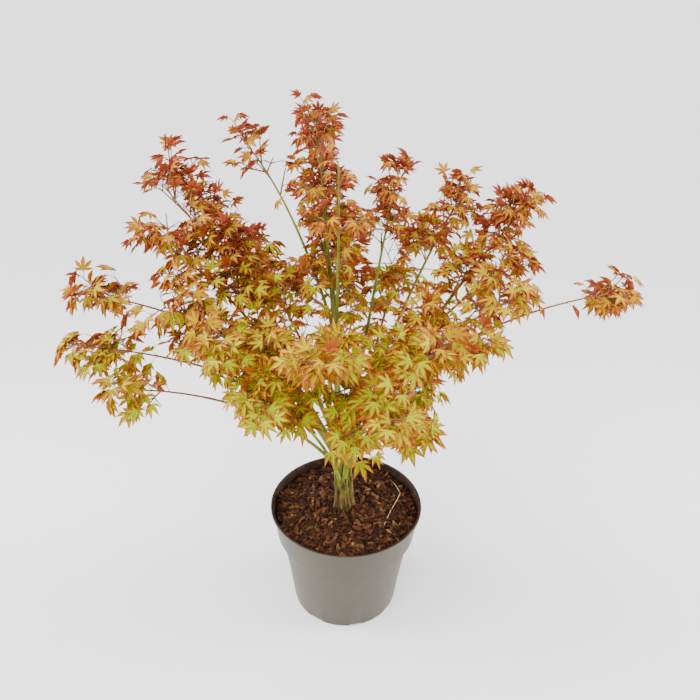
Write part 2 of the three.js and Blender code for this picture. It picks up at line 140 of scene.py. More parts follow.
# The bed's side, from under its edge down the wall to the floor, as (radius, height).
BED_SIDE = ((84.8, 113.5), (79.4, 110.3), (65.0, 6.4), (59.8, 3.5), (0.4, 3.5))
# Crossed waves, in radians to the mm along x and y, that make the soil crumbly.
CRUMB_WAVES = ((0.9, 0.35), (-0.4, 1.1), (1.7, -1.3), (2.3, 1.9))
# The ring of soil that chips lie on, from its first radius to its last, and its lift over it.
MULCH = {"sides": 96, "rings": 12, "first": 17.0, "last": 86.0, "lift": 0.4}
# A chip's corners, as shares of its length and width, and how far its ends are torn and its
# faces wave. Its scale goes from the smallest to the largest by chance.
CHIP_OUTLINE = ((-0.5, -0.2), (-0.15, -0.5), (0.4, -0.38), (0.5, 0.1), (0.12, 0.5),
                (-0.42, 0.34))
CHIP_SHAPE = {"salt": 60, "torn": 0.16, "lift": 0.3, "waves": 5}
CHIP_SIZES = {"Smallest": 0.45, "Largest": 1.8}
CHIP_SEEDS = {"first": 11, "step": 7}
# Name, dark and light hex, share of the density, and length, width and thickness as shares of
# the middling chip's length.
CHIPS = (
    ("bark_chips_dark", "#1e0f08", "#3b200d", 1.2, 1.35, 0.4, 0.17),
    ("bark_chips_red", "#361a0c", "#5e341a", 1.0, 1.15, 0.36, 0.15),
    ("bark_chips_brown", "#432814", "#6e4a29", 0.75, 1.2, 0.32, 0.14),
    ("bark_chips_tan", "#664622", "#95703c", 0.16, 1.0, 0.3, 0.14),
    ("bark_fibres", "#2d170a", "#533118", 0.9, 1.1, 0.13, 0.1),
)
STRAW_SIDES = 6
# The straw's x, y, height over the soil and radius, from end to end.
STRAW = (
    (47.0, -34.0, 2.2, 0.35),
    (56.0, -10.0, 3.2, 0.5),
    (66.0, 14.0, 3.8, 0.55),
    (70.0, 27.0, 3.8, 0.55),
    (66.0, 41.0, 3.4, 0.45),
    (58.0, 56.0, 2.4, 0.3),
)
# The bark's ribs twist round the trunk, which is slimmer than its solid by their relief.
BARK = {"sides": 72, "rings": 60, "slim": 0.91, "sunk": 3.5, "above": 5.0, "dome": 12.0,
        "least": 0.02, "twist": 0.006}
# A limb's steps and where they end, its taper and its tip's radius, and the collar and joints
# that thicken it.
LIMB = {"steps": 60, "end": 0.995, "taper": 0.95, "tip": 0.6, "collar": 0.4, "collar_fall": 26,
        "joint": 0.07, "joints": 9}
# Each kind of shoot's radius at its foot and at its tip, and its steps.
TWIG_ROD = (1.05, 0.6, 6)
FINE_ROD = (0.75, 0.45, 4)
# A leaf stalk bows by a share of its leaf's size.
STALK_RADII = (0.45, 0.38, 0.42)
STALK_SIDES = 4
STALK_BOW = 0.07
BARE_RADII = (0.75, 0.6, 0.4)
STUB_RADII = (0.5, 0.35)
STUB = {"lift": 2.0, "along": 0.12, "aside": 5.0}

# Each region's leaves are one piece, so that no piece grows too heavy.
REGIONS = {
    "crest": ("spire", "spire_left", "spire_right", "crest_left", "crest_right"),
    "left": ("high_left", "upper_left", "far_left_high", "mid_left", "far_left_low", "low_left"),
    "right": ("upper_right", "right_side", "crest_far_right", "mid_right", "far_right",
              "low_right"),
    "front": ("front_left_low", "front_left", "front", "front_low", "front_right_low",
              "front_right"),
    "back": ("back", "back_left", "back_right"),
}

# Leaf colours, (heart, rim) of the blade, from the low sprays' lime to the crest's russet.
LEAF_TINTS = (
    ("#a8b800", "#a6600e"),
    ("#aeb200", "#a65818"),
    ("#b4a600", "#a45020"),
    ("#b89e00", "#a44c28"),
    ("#be9c0a", "#a44c2e"),
    ("#be941a", "#a04a30"),
)
# Sprays turn redder with height (mm) and with their distance from the trunk to the sides and
# the back (m), and stay greener towards the front (m).
TINTS_RISE = {"from": 360.0, "over": 250.0, "outward": 0.8, "forward": 1.3, "spread": 0.6}

# The share of their low leaves that some limbs have shed, which leaves the crown open there.
SHED = {"crest_right": 0.75, "crest_far_right": 0.75, "spire_right": 0.6, "back_right": 0.4,
        "back_left": 0.35, "high_left": 0.55, "upper_right": 0.3, "mid_left": 0.2,
        "front_left": 0.3, "back": 0.3, "front": 0.2}
SHED_BELOW = 0.55

# Stronger twigs: the limb, how many, the shares of the limb that they stand between, how far
# they reach (mm), and how much they rise.
STRONG_TWIGS = (
    ("spire", 5, 0.85, 0.97, 34, 0.8),
    ("spire_left", 6, 0.25, 0.75, 44, 0.3),
    ("crest_left", 4, 0.60, 0.95, 32, 0.5),
    ("crest_right", 5, 0.75, 0.97, 30, 0.6),
    ("crest_far_right", 5, 0.80, 0.97, 36, 0.9),
    ("high_left", 6, 0.35, 0.70, 48, 1.0),
    ("high_left", 5, 0.70, 0.95, 52, 0.9),
    ("upper_left", 4, 0.75, 0.95, 34, 0.4),
    ("upper_right", 4, 0.80, 0.97, 36, 0.3),
    ("far_left_high", 3, 0.80, 0.95, 28, 0.5),
    ("far_left_low", 3, 0.80, 0.95, 30, 0.0),
    ("far_right", 4, 0.90, 0.98, 28, 0.2),
    ("mid_left", 5, 0.45, 0.90, 44, -0.5),
    ("front_left_low", 4, 0.60, 0.95, 40, -0.2),
    ("front_right_low", 4, 0.45, 0.90, 38, -0.4),
    ("front_low", 3, 0.10, 0.35, 22, -0.2),
)
# They are numbered from here on, branch where they are longer than branches, bear leaves from a
# share of their length on, and may use this much more room than their limb's other twigs.
STRONG = {"number": 600, "shortest": 14.0, "shorter": 0.85, "branches": 42.0, "bare": 0.3,
          "room": 1.6}

# Gaps that the crown leaves open from its front right through to its back: where each crosses
# the trunk's plane, as (x, z), and its radius (mm). They spread from the camera's place.
CAMERA = {"place": (1.5, -750.0, 811.0), "pitch": 30.3, "roll": 1.0}
GAPS = {
    "right_of_spire": (5, 595, 16),
    "left_of_spire": (-80, 575, 14),
    "between_right_crests": (70, 565, 16),
    "beside_crest_stem": (35, 495, 14),
    "in_right_fork": (80, 480, 10),
    "under_high_bough": (-185, 540, 18),
    "on_far_right_stem": (230, 440, 16),
    "between_far_left_sprays": (-280, 405, 12),
    "under_far_left_stem": (-215, 430, 14),
    "beside_low_left_spray": (-190, 300, 24),
}
GAP_MARGIN = 6.0

# Dead twiglets without leaves: limb, share of it, and the tip (mm).
BARE_TWIGS = (
    ("high_left", 0.74, (-124.0, 62.0, 514.0)),
    ("low_left", 0.33, (-74.0, -52.0, 292.0)),
)

# Studio: half the floor's side and how far it lies under the pot's foot (mm), the lights (m and
# degrees) and the camera's sensor (mm).
FLOOR = {"half": 16000.0, "below": 0.2}
SUN = {"place": (-0.9, -0.9, 2.2), "width": 62, "strength": 3.2}
SOFTBOXES = {"left_panel": (-1.5, 0.15, 0.55), "right_panel": (1.5, 0.15, 0.55)}
SOFTBOX = {"aim": (0.0, 0.0, 0.3), "size": 0.9, "watts": 9, "spread": 70}
SENSOR = 36.0
SKY = {"colour": "#ffffff", "strength": 1.5, "seen": 2.4}

UP = np.array([0.0, 0.0, 1.0])


# ---------------------------------------------------------------- properties

class PotProperties(bpy.types.PropertyGroup):
    facets: bpy.props.IntProperty(
        name="Facets", description="Sides of the turned pot", default=160, min=48, max=320)
    colour: bpy.props.FloatVectorProperty(
        name="Plastic", description="Colour of the moulded plastic", subtype="COLOR", size=3,
        default=(0.065, 0.057, 0.038), min=0.0, max=1.0)


class MulchProperties(bpy.types.PropertyGroup):
    relief: bpy.props.FloatProperty(
        name="Relief", description="Height of the crumbs in the soil", default=0.0016,
        subtype="DISTANCE", unit="LENGTH")
    density: bpy.props.FloatProperty(
        name="Chips", description="Bark chips of one tint on a square metre", default=17000.0)
    chip_length: bpy.props.FloatProperty(
        name="Chip Length", description="Length of a middling bark chip", default=0.0082,
        subtype="DISTANCE", unit="LENGTH")


class WoodProperties(bpy.types.PropertyGroup):
    rib_depth: bpy.props.FloatProperty(
        name="Rib Depth", description="How far the trunk's ribs stand out", default=0.0011,
        subtype="DISTANCE", unit="LENGTH")
    limb_sides: bpy.props.IntProperty(
        name="Limb Sides", description="Sides of a limb's section", default=12, min=6, max=24)
    twig_sides: bpy.props.IntProperty(
        name="Twig Sides", description="Sides of a twig's section", default=6, min=3, max=12)


class LeafProperties(bpy.types.PropertyGroup):
    gap: bpy.props.FloatProperty(
        name="Node Gap", description="Distance between pairs of leaves on a shoot",
        default=0.0165, subtype="DISTANCE", unit="LENGTH")
    size: bpy.props.FloatProperty(
        name="Leaf Size", description="Length of a leaf's middle lobe", default=0.0188,
        subtype="DISTANCE", unit="LENGTH")
    stalk: bpy.props.FloatProperty(
        name="Stalk", description="Length of a leaf's stalk, in leaf sizes", default=0.72)


class StageProperties(bpy.types.PropertyGroup):
    focal: bpy.props.FloatProperty(
        name="Focal", description="Focal length on a 36 mm sensor", default=39.857)
    floor: bpy.props.FloatVectorProperty(
        name="Floor", description="Colour of the pale floor", subtype="COLOR", size=3,
        default=(0.95, 0.95, 0.95), min=0.0, max=1.0)


def settings(name):
    return getattr(bpy.context.scene, name)


# ---------------------------------------------------------------- colour and shader nodes

def linear(code):
    """An sRGB hex colour as linear red, green, blue and alpha."""
    channels = [int(code[i:i + 2], 16) / 255 for i in (1, 3, 5)]
    return tuple(c / 12.92 if c <= 0.04045 else ((c + 0.055) / 1.055) ** 2.4
                 for c in channels) + (1.0,)


def socket(sockets, key):
    """A node's socket, by its place in the list or by its identifier."""
    if isinstance(key, int):
        return sockets[key]
    return next(found for found in sockets if found.identifier == key)


def node(tree, kind, values=None, links=None, **options):
    """Adds a node with its options, its input values and its links from other sockets."""
    new = tree.nodes.new(kind)
    for key, value in options.items():
        setattr(new, key, value)
    for key, value in (values or {}).items():
        socket(new.inputs, key).default_value = value
    for key, source in (links or {}).items():
        tree.links.new(source, socket(new.inputs, key))
    return new


def new_material(name, roughness, ior, specular=0.5):
    """A fresh material with a Principled shader, as (material, tree, shader)."""
    material = bpy.data.materials.new(name)
    material.use_nodes = True
    tree = material.node_tree
    tree.nodes.clear()
    shader = node(tree, "ShaderNodeBsdfPrincipled",
                  {"Roughness": roughness, "IOR": ior, "Specular IOR Level": specular})
    node(tree, "ShaderNodeOutputMaterial", links={"Surface": shader.outputs["BSDF"]})
    return material, tree, shader


def ramp(tree, factor, stops):
    """A colour ramp over (place, hex colour) stops."""
    new = node(tree, "ShaderNodeValToRGB", links={"Fac": factor})
    elements = new.color_ramp.elements
    while len(elements) < len(stops):
        elements.new(1.0)
    for element, (place, code) in zip(elements, stops):
        element.position = place
        element.color = linear(code)
    return new.outputs["Color"]


def blended(tree, factor, first, second):
    """One colour that turns to another as the factor goes from 0 to 1."""
    mix = node(tree, "ShaderNodeMix",
               links={"Factor_Float": factor, "A_Color": first, "B_Color": second},
               data_type="RGBA")
    return socket(mix.outputs, "Result_Color")


def painted(tree, shader, factor, stops):
    tree.links.new(ramp(tree, factor, stops), shader.inputs["Base Color"])


def stretched(tree, scale):
    """Object coordinates scaled along each axis."""
    place = node(tree, "ShaderNodeTexCoord")
    mapping = node(tree, "ShaderNodeMapping", {"Scale": scale},
                   {"Vector": place.outputs["Object"]})
    return mapping.outputs["Vector"]


def noise(tree, grain_mm, detail=4.0, rough=0.55, stretch=(1.0, 1.0, 1.0)):
    """Noise whose cells are about grain_mm across, as a factor."""
    new = node(tree, "ShaderNodeTexNoise",
               {"Scale": 1.0 / (grain_mm * MM), "Detail": detail, "Roughness": rough},
               {"Vector": stretched(tree, stretch)})
    return new.outputs["Fac"]


def bumped(tree, shader, height, depth_mm, strength=1.0):
    bump = node(tree, "ShaderNodeBump", {"Distance": depth_mm * MM, "Strength": strength},
                {"Height": height})
    tree.links.new(bump.outputs["Normal"], shader.inputs["Normal"])


# ---------------------------------------------------------------- materials

def moulded_polypropylene(colour):
    # Injection-moulded polypropylene with a satin skin: an even taupe, a little chalky where
    # it has been handled, and a fine grain that softens the gloss.
    material, tree, shader = new_material("moulded_polypropylene", 0.42, 1.49, 0.35)
    tint = node(tree, "ShaderNodeMix",
                {"A_Color": (*[c * 0.9 for c in colour], 1.0),
                 "B_Color": (*[min(1.0, c * 1.12) for c in colour], 1.0)},
                {"Factor_Float": noise(tree, 46.0, 5.0)}, data_type="RGBA")
    tree.links.new(socket(tint.outputs, "Result_Color"), shader.inputs["Base Color"])
    wear = node(tree, "ShaderNodeMapRange", {"To Min": 0.34, "To Max": 0.56},
                {"Value": noise(tree, 9.0, 6.0)})
    tree.links.new(wear.outputs["Result"], shader.inputs["Roughness"])
    bumped(tree, shader, noise(tree, 0.9, 3.0), 0.05, 0.5)
    return material


def stained_and_shaded_polypropylene():
    # The same plastic, dark brown, blotched and duller: compost stain plus painted shade on the inner
    # wall.
    material, tree, shader = new_material("stained_and_shaded_polypropylene", 0.6, 1.49, 0.2)
    painted(tree, shader, noise(tree, 14.0, 6.0),
            ((0.34, "#180c05"), (0.55, "#2e1a0d"), (0.75, "#493320")))
    bumped(tree, shader, noise(tree, 2.0, 5.0), 0.2)
    return material


def composted_bark():
    # Moist composted bark: near-black crumbs with red-brown fibre, matt all over.
    material, tree, shader = new_material("composted_bark", 0.9, 1.45, 0.2)
    painted(tree, shader, noise(tree, 5.0, 8.0, 0.7),
            ((0.3, "#180a04"), (0.5, "#33180b"), (0.7, "#52301c")))
    bumped(tree, shader, noise(tree, 1.6, 6.0, 0.7), 1.2)
    return material


def bark_chip(name, dark, light):
    # Chipped conifer bark: fibres run along each flake, with a dry matt face.
    material, tree, shader = new_material(name, 0.82, 1.45, 0.2)
    fibre = noise(tree, 2.4, 6.0, 0.65, (1.0, 0.5, 1.6))
    painted(tree, shader, fibre, ((0.36, dark), (0.62, light)))
    bumped(tree, shader, noise(tree, 0.8, 4.0), 0.35)
    return material


def young_maple_bark():
    # Young ribbed bark: olive-green skin that corks over to brown just above the soil, along a
    # line that wanders a few centimetres up and down.
    material, tree, shader = new_material("young_maple_bark", 0.7, 1.45, 0.25)
    streaks = noise(tree, 3.2, 6.0, 0.6, (1.0, 1.0, 0.16))
    green = ramp(tree, streaks, ((0.34, "#281e07"), (0.45, "#4a420f"), (0.58, "#6b6818"),
                                 (0.75, "#827f2e")))
    brown = ramp(tree, streaks, ((0.36, "#24150a"), (0.52, "#4d341a"), (0.7, "#75562e")))
    height = node(tree, "ShaderNodeSeparateXYZ", links={"Vector": stretched(tree, (1, 1, 1))})
    patchy = node(tree, "ShaderNodeMath", {1: 0.05}, {0: noise(tree, 9.0, 5.0)},
                  operation="MULTIPLY")
    level = node(tree, "ShaderNodeMath", links={0: height.outputs["Z"],
                                                1: patchy.outputs["Value"]},
                 operation="SUBTRACT")
    rise = node(tree, "ShaderNodeMapRange", {"From Min": 0.118, "From Max": 0.168},
                {"Value": level.outputs["Value"]})
    tree.links.new(blended(tree, rise.outputs["Result"], brown, green),
                   shader.inputs["Base Color"])
    bumped(tree, shader, noise(tree, 1.5, 7.0, 0.65, (1.0, 1.0, 0.2)), 0.9)
    return material


def green_stem_skin():
    # Smooth young stem skin with a faint waxy bloom: lime to olive near the fork, and
    # red-brown on the thin ends that reach out of the crown.
    material, tree, shader = new_material("green_stem_skin", 0.55, 1.45, 0.25)
    patches = noise(tree, 30.0, 5.0, 0.6, (1.0, 1.0, 0.5))
    green = ramp(tree, patches, ((0.3, "#444a12"), (0.48, "#66701e"), (0.62, "#80862c"),
                                 (0.78, "#745628")))
    brown = ramp(tree, patches, ((0.34, "#5a2f18"), (0.6, "#7c4c24"), (0.78, "#7d7030")))
    place = node(tree, "ShaderNodeTexCoord")
    away = node(tree, "ShaderNodeVectorMath", {1: (1.0, 1.0, 0.0)},
                {0: place.outputs["Object"]}, operation="MULTIPLY")
    distance = node(tree, "ShaderNodeVectorMath", links={0: away.outputs[0]},
                    operation="LENGTH")
    reach = node(tree, "ShaderNodeMapRange", {"From Min": 0.09, "From Max": 0.2},
                 {"Value": distance.outputs["Value"]})
    tree.links.new(blended(tree, reach.outputs["Result"], green, brown),
                   shader.inputs["Base Color"])
    bumped(tree, shader, noise(tree, 2.0, 5.0, 0.6, (1.0, 1.0, 0.3)), 0.25)
    return material


def russet_twig_skin():
    # First-year twigs and leaf stalks: thin red-brown skin over lime green.
    material, tree, shader = new_material("russet_twig_skin", 0.5, 1.45)
    painted(tree, shader, noise(tree, 22.0),
            ((0.34, "#6b3a20"), (0.52, "#8f5a2c"), (0.7, "#9a8a3c")))
    return material


def dead_twig_bark():
    # Dry dead twiglets: dark grey-brown bark, matt and finely cracked along its length.
    material, tree, shader = new_material("dead_twig_bark", 0.85, 1.45)
    cracks = noise(tree, 2.5, 5.0, 0.6, (1.0, 1.0, 0.3))
    painted(tree, shader, cracks, ((0.36, "#1f150e"), (0.64, "#4c3a28")))
    bumped(tree, shader, cracks, 0.2)
    return material


def leaf_skin(name, code):
    # A thin autumn leaf: one plain tint, a soft waxy face and faint relief of small veins.
    material, tree, shader = new_material(name, 0.55, 1.42, 0.15)
    shader.inputs["Base Color"].default_value = linear(code)
    bumped(tree, shader, noise(tree, 2.2, 3.0), 0.12, 0.6)
    return material


def dry_straw():
    # A split grass straw: pale and silky, so smoother than bark.
    material, tree, shader = new_material("dry_straw", 0.5, 1.45)
    painted(tree, shader, noise(tree, 3.0), ((0.35, "#b08a58"), (0.65, "#d8bb8a")))
    return material


def floor_paint(colour):
    # Matt painted studio floor.
    material, _, shader = new_material("floor_paint", 0.9, 1.45, 0.1)
    shader.inputs["Base Color"].default_value = (*colour, 1.0)
    return material


# ---------------------------------------------------------------- mesh helpers

def new_piece(name, vertices, faces, materials, kinds=None, smooth=True):
    """A piece from places in millimetres, with a material index for each face."""
    mesh = bpy.data.meshes.new(name)
    mesh.from_pydata((np.asarray(vertices) * MM).tolist(), [], faces)
    for material in materials:
        mesh.materials.append(material)
    if kinds is not None:
        mesh.polygons.foreach_set("material_index", np.asarray(kinds, dtype=np.int32))
    mesh.polygons.foreach_set("use_smooth", np.full(len(mesh.polygons), smooth))
    mesh.update()
    return link(bpy.data.objects.new(name, mesh))


def link(piece):
    bpy.context.scene.collection.objects.link(piece)
    return piece


def keep(piece, slot, *nodes):
    """Sets the piece on the part's body, in place of the solids that it stands for, if any."""
    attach(piece, BODY)
    if nodes:
        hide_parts(*nodes)


def turns(sides, shift=0.0):
    """Directions evenly round the axis, in radians, shifted by a share of a step."""
    return [2 * math.pi * (k + shift) / sides for k in range(sides)]


def lathe_faces(rings, sides):
    """Quads between the rings of a turned shape that follow one another."""
    return [(r * sides + k, r * sides + (k + 1) % sides, (r + 1) * sides + (k + 1) % sides,
             (r + 1) * sides + k) for r in range(rings - 1) for k in range(sides)]


def closed_faces(rings, sides):
    """The same, with a face across the first and the last ring."""
    last = (rings - 1) * sides
    return lathe_faces(rings, sides) + [tuple(reversed(range(sides))),
                                        tuple(range(last, last + sides))]


# ---------------------------------------------------------------- geometry node trees

def new_tree(name, **kinds):
    """A geometry tree with named inputs, as (tree, its input node's sockets)."""
    tree = bpy.data.node_groups.new(name, "GeometryNodeTree")
    for key, kind in {"Geometry": "Geometry", **kinds, "Material": "Material"}.items():
        tree.interface.new_socket(name=key, in_out="INPUT", socket_type=f"NodeSocket{kind}")
    tree.interface.new_socket(name="Geometry", in_out="OUTPUT",
                              socket_type="NodeSocketGeometry")
    return tree, node(tree, "NodeGroupInput").outputs


def end_tree(tree, given, geometry):
    """Realizes the instances, sets the material and hands the geometry out."""
    whole = node(tree, "GeometryNodeRealizeInstances", links={"Geometry": geometry})
    coated = node(tree, "GeometryNodeSetMaterial",
                  links={"Geometry": whole.outputs["Geometry"], "Material": given["Material"]})
    node(tree, "NodeGroupOutput", links={0: coated.outputs["Geometry"]})


def rods_tree():
    """Sweeps a round section along every path, as thick as the path's own radius."""
    tree, given = new_tree("Rods Along Paths", Sides="Int")
    section = node(tree, "GeometryNodeCurvePrimitiveCircle", {"Radius": 1.0},
                   {"Resolution": given["Sides"]})
    radius = node(tree, "GeometryNodeInputRadius")
    swept = node(tree, "GeometryNodeCurveToMesh", {"Fill Caps": True},
                 {"Curve": given["Geometry"], "Profile Curve": section.outputs["Curve"],
                  "Scale": radius.outputs["Radius"]})
    end_tree(tree, given, swept.outputs["Mesh"])
    return tree


def scatter_tree():
    """Strews one chip over a surface, each turned and sized by chance."""
    tree, given = new_tree("Strewn Chips", Chip="Object", Density="Float", Seed="Int",
                           Smallest="Float", Largest="Float")
    points = node(tree, "GeometryNodeDistributePointsOnFaces",
                  links={"Mesh": given["Geometry"], "Density": given["Density"],
                         "Seed": given["Seed"]})
    turn = node(tree, "FunctionNodeRandomValue",
                {"Min": (-0.5, -0.5, -math.pi), "Max": (0.5, 0.5, math.pi)},
                {"Seed": given["Seed"]}, data_type="FLOAT_VECTOR")
    size = node(tree, "FunctionNodeRandomValue",
                links={"Min_001": given["Smallest"], "Max_001": given["Largest"],
                       "Seed": given["Seed"]}, data_type="FLOAT")
    chip = node(tree, "GeometryNodeObjectInfo", {"As Instance": True},
                {"Object": given["Chip"]})
    tilt = node(tree, "FunctionNodeRotateRotation",
                links={"Rotation": points.outputs["Rotation"],
                       "Rotate By": turn.outputs["Value"]}, rotation_space="LOCAL")
    strewn = node(tree, "GeometryNodeInstanceOnPoints",
                  links={"Points": points.outputs["Points"],
                         "Instance": chip.outputs["Geometry"],
                         "Rotation": tilt.outputs["Rotation"], "Scale": size.outputs[1]})
    end_tree(tree, given, strewn.outputs["Instances"])
    return tree


def run_tree(tree, source, name, **inputs):
    """The tree's result on the source object, as a plain mesh piece of its own."""
    modifier = source.modifiers.new(tree.name, "NODES")
    modifier.node_group = tree
    for item in tree.interface.items_tree:
        if item.in_out == "INPUT" and item.name in inputs:
            modifier[item.identifier] = inputs[item.name]
    source.update_tag()
    evaluated = source.evaluated_get(bpy.context.evaluated_depsgraph_get())
    mesh = bpy.data.meshes.new_from_object(evaluated)
    mesh.name = name
    source.modifiers.remove(modifier)
    return link(bpy.data.objects.new(name, mesh))


def path_source(paths):
    """A curve object with one poly spline for each (places, radii) path, in millimetres."""
    curve = bpy.data.curves.new("paths", "CURVE")
    curve.dimensions = "3D"
    for places, radii in paths:
        spline = curve.splines.new("POLY")
        spline.points.add(len(places) - 1)
        flat = np.column_stack([np.asarray(places) * MM, np.ones(len(places))])
        spline.points.foreach_set("co", flat.ravel())
        spline.points.foreach_set("radius", np.asarray(radii) * MM)
    return link(bpy.data.objects.new("paths", curve))


def sweep(name, paths, sides, material):
    """Round rods along the paths, as one smooth piece."""
    source = path_source(paths)
    tree = bpy.data.node_groups.get("Rods Along Paths") or rods_tree()
    piece = run_tree(tree, source, name, Sides=sides, Material=material)
    bpy.data.objects.remove(source)
    piece.data.polygons.foreach_set("use_smooth", np.full(len(piece.data.polygons), True))
    return piece


# ---------------------------------------------------------------- the growth rule

# Shoots are numbered along their limb: its stem is 0, and spurs and side twigs start here.
SPURS_FROM = 100
SIDE_TWIGS_FROM = 200
# What chance varies on each twig and leaf: the lowest and highest value, in degrees or as a
# share, and the salt of its draw.
CHANCES = {
    "roll": (-25, 25, 31),
    "angle": (38, 62, 32),
    "reach": (0.75, 1.15, 33),
    "tilt": (-0.18, 0.12, 34),
    "strong_turn": (15, 60, 35),
    "strong_rise": (0.6, 1.4, 36),
    "strong_reach": (0.8, 1.2, 37),
    "leaf_roll": (-30, 30, 5),
    "leaf_splay": (45, 75, 8),
    "end_leaf_splay": (-15, 15, 8),
    "leaf_hang": (0.15, 0.85, 11),
    "leaf_up": (0.35, 1.1, 14),
    "leaf_out": (-0.1, 1.0, 17),
    "leaf_aside": (-0.7, 0.7, 20),
    "leaf_size": (0.75, 1.1, 23),
}


def chance(a, b, c=0):
    """A number from 0 to 1 that looks drawn by lot, always the same for the same three."""
    wave = math.sin(a * 12.9898 + b * 78.233 + c * 37.719 + SEED) * 43758.5453
    return wave - math.floor(wave)


def vary(key, limb, number, hand=0):
    low, high, salt = CHANCES[key]
    return low + (high - low) * chance(limb.number, number, salt + hand)


def unit(vector):
    return vector / max(float(np.linalg.norm(vector)), 1e-9)


def side_of(along):
    if abs(along[2]) >= 0.97:
        return np.array([1.0, 0.0, 0.0])
    return unit(np.cross(UP, along))


def trunk_axis(height):
    share = (height - TRUNK["foot"]) / (TRUNK["fork"] - TRUNK["foot"])
    return np.array([TRUNK["x"] - TRUNK["lean"] * (share - 0.5), TRUNK["y"], height])


class Limb:
    """A bough and the stem that it goes on as, on one arched curve from its foot to its tip."""

    def __init__(self, name, row, number, limbs):
        parent, foot, heading, reach, tip, thick, bare, arch, spread = row
        self.name, self.number = name, number
        self.thick, self.bare, self.spread, self.tip = thick, bare, spread, tip
        turn = math.radians(heading)
        out = np.array([math.cos(turn), math.sin(turn), 0.0])
        if parent == "trunk":
            start = trunk_axis(foot) + out * FORK_OFFSET
        else:
            start = limbs[parent].at(foot)
        end = np.array([TRUNK["x"], TRUNK["y"], tip]) + out * reach
        self.knots = self.arched(start, end, arch)

    def arched(self, start, end, arch):
        """The four knots of its curve, which rises the sooner the higher its arch is."""
        span = end - start
        rise = UP * span[2]
        flat = span - rise
        side = unit(np.cross(UP, flat))
        sway = (chance(self.number, 1) - 0.5) * 0.12 * np.linalg.norm(span)
        low = start + flat * (0.33 - 0.15 * arch) + rise * (0.33 + 0.15 * arch) + side * sway
        high = (start + flat * (0.66 - 0.1 * arch) + rise * (0.66 + 0.28 * arch)
                - side * sway / 2)
        return start, low, high, end

    def at(self, share):
        a, b, c, d = self.knots
        u = 1 - share
        return a * u ** 3 + b * 3 * u * u * share + c * 3 * u * share ** 2 + d * share ** 3

    def along(self, share):
        a, b, c, d = self.knots
        u = 1 - share
        return unit((b - a) * u * u + (c - b) * 2 * u * share + (d - c) * share ** 2)

    def radius(self, share, taper=BOUGH["taper"], tip=BOUGH["tip"]):
        return BOUGH["foot"] * self.thick * (1 - share) ** taper + tip

    def stem(self):
        return Shoot(lambda s: self.at(self.bare + (1 - self.bare) * s),
                     lambda s: self.along(self.bare + (1 - self.bare) * s), 0, 0.1)


class Shoot:
    """Anything that bears leaves, from its share first on, with its place and its direction."""

    def __init__(self, at, along, number, first):
        self.at, self.along, self.number, self.first = at, along, number, first
        places = [at(k / 8) for k in range(9)]
        self.length = sum(np.linalg.norm(b - a) for a, b in zip(places, places[1:]))


def bowed_shoot(foot, tip, number, first, bow):
    """A twig that bows up a little at its middle."""
    def at(share):
        return foot + (tip - foot) * share + UP * bow * 4 * share * (1 - share)

    def along(share):
        return unit((tip - foot) + UP * bow * 4 * (1 - 2 * share))

    return Shoot(at, along, number, first)


def distances(places, starts, ends):
    """Distance of every place to every straight run, as a table."""
    runs = ends - starts
    squares = (runs * runs).sum(1)
    shares = np.clip((places @ runs.T - (starts * runs).sum(1)) / squares, 0, 1)
    nearest = starts[None] + shares[:, :, None] * runs[None]
    return np.linalg.norm(places[:, None] - nearest, axis=2)


class Spaces:
    """The space that each limb's foliage has to itself, or a little more where room is over 1."""

    def __init__(self, limbs, room=1.0):
        self.outer, self.overlap = CELL["outer"] * room, CELL["overlap"] * room
        steps = np.linspace(0, 1, CELL["stations"] + 1)
        stems = [np.array([m.at(m.bare + (1 - m.bare) * s) for s in steps]) for m in limbs]
        boughs = [np.array([m.at(m.bare * s) for s in steps]) for m in limbs]
        trunk = np.array([trunk_axis(TRUNK["foot"] - CELL["trunk_below"]), trunk_axis(TRUNK["fork"])])
        self.count = len(limbs)
        self.stem_starts = np.concatenate([s[:-1] for s in stems])
        self.stem_ends = np.concatenate([s[1:] for s in stems])
        self.wood_starts = np.concatenate([b[:-1] for b in boughs] + [trunk[:1]])
        self.wood_ends = np.concatenate([b[1:] for b in boughs] + [trunk[1:]])
        clear = [m.radius(m.bare * s) + CELL["bough_clear"] for m in limbs for s in steps[:-1]]
        self.wood_clear = np.array(clear + [CELL["trunk_clear"]])
        self.spread = np.array([float(m.spread) for m in limbs])

    def holds(self, index, places):
        places = np.atleast_2d(places)
        gaps = distances(places, self.stem_starts, self.stem_ends)
        gaps = gaps.reshape(len(places), self.count, -1).min(2)
        shares = gaps / self.spread
        own = shares[:, index:index + 1]
        lead = (shares - own) * np.minimum(self.spread, self.spread[index])
        wood = distances(places, self.wood_starts, self.wood_ends) - self.wood_clear
        inside = (own[:, 0] <= self.outer) & (lead > -self.overlap).all(1)
        return inside & (wood > 0).all(1)


def make_limbs():
    limbs = {}
    for i, (name, row) in enumerate(LIMBS.items()):
        limbs[name] = Limb(name, row, i + 1, limbs)
    return limbs


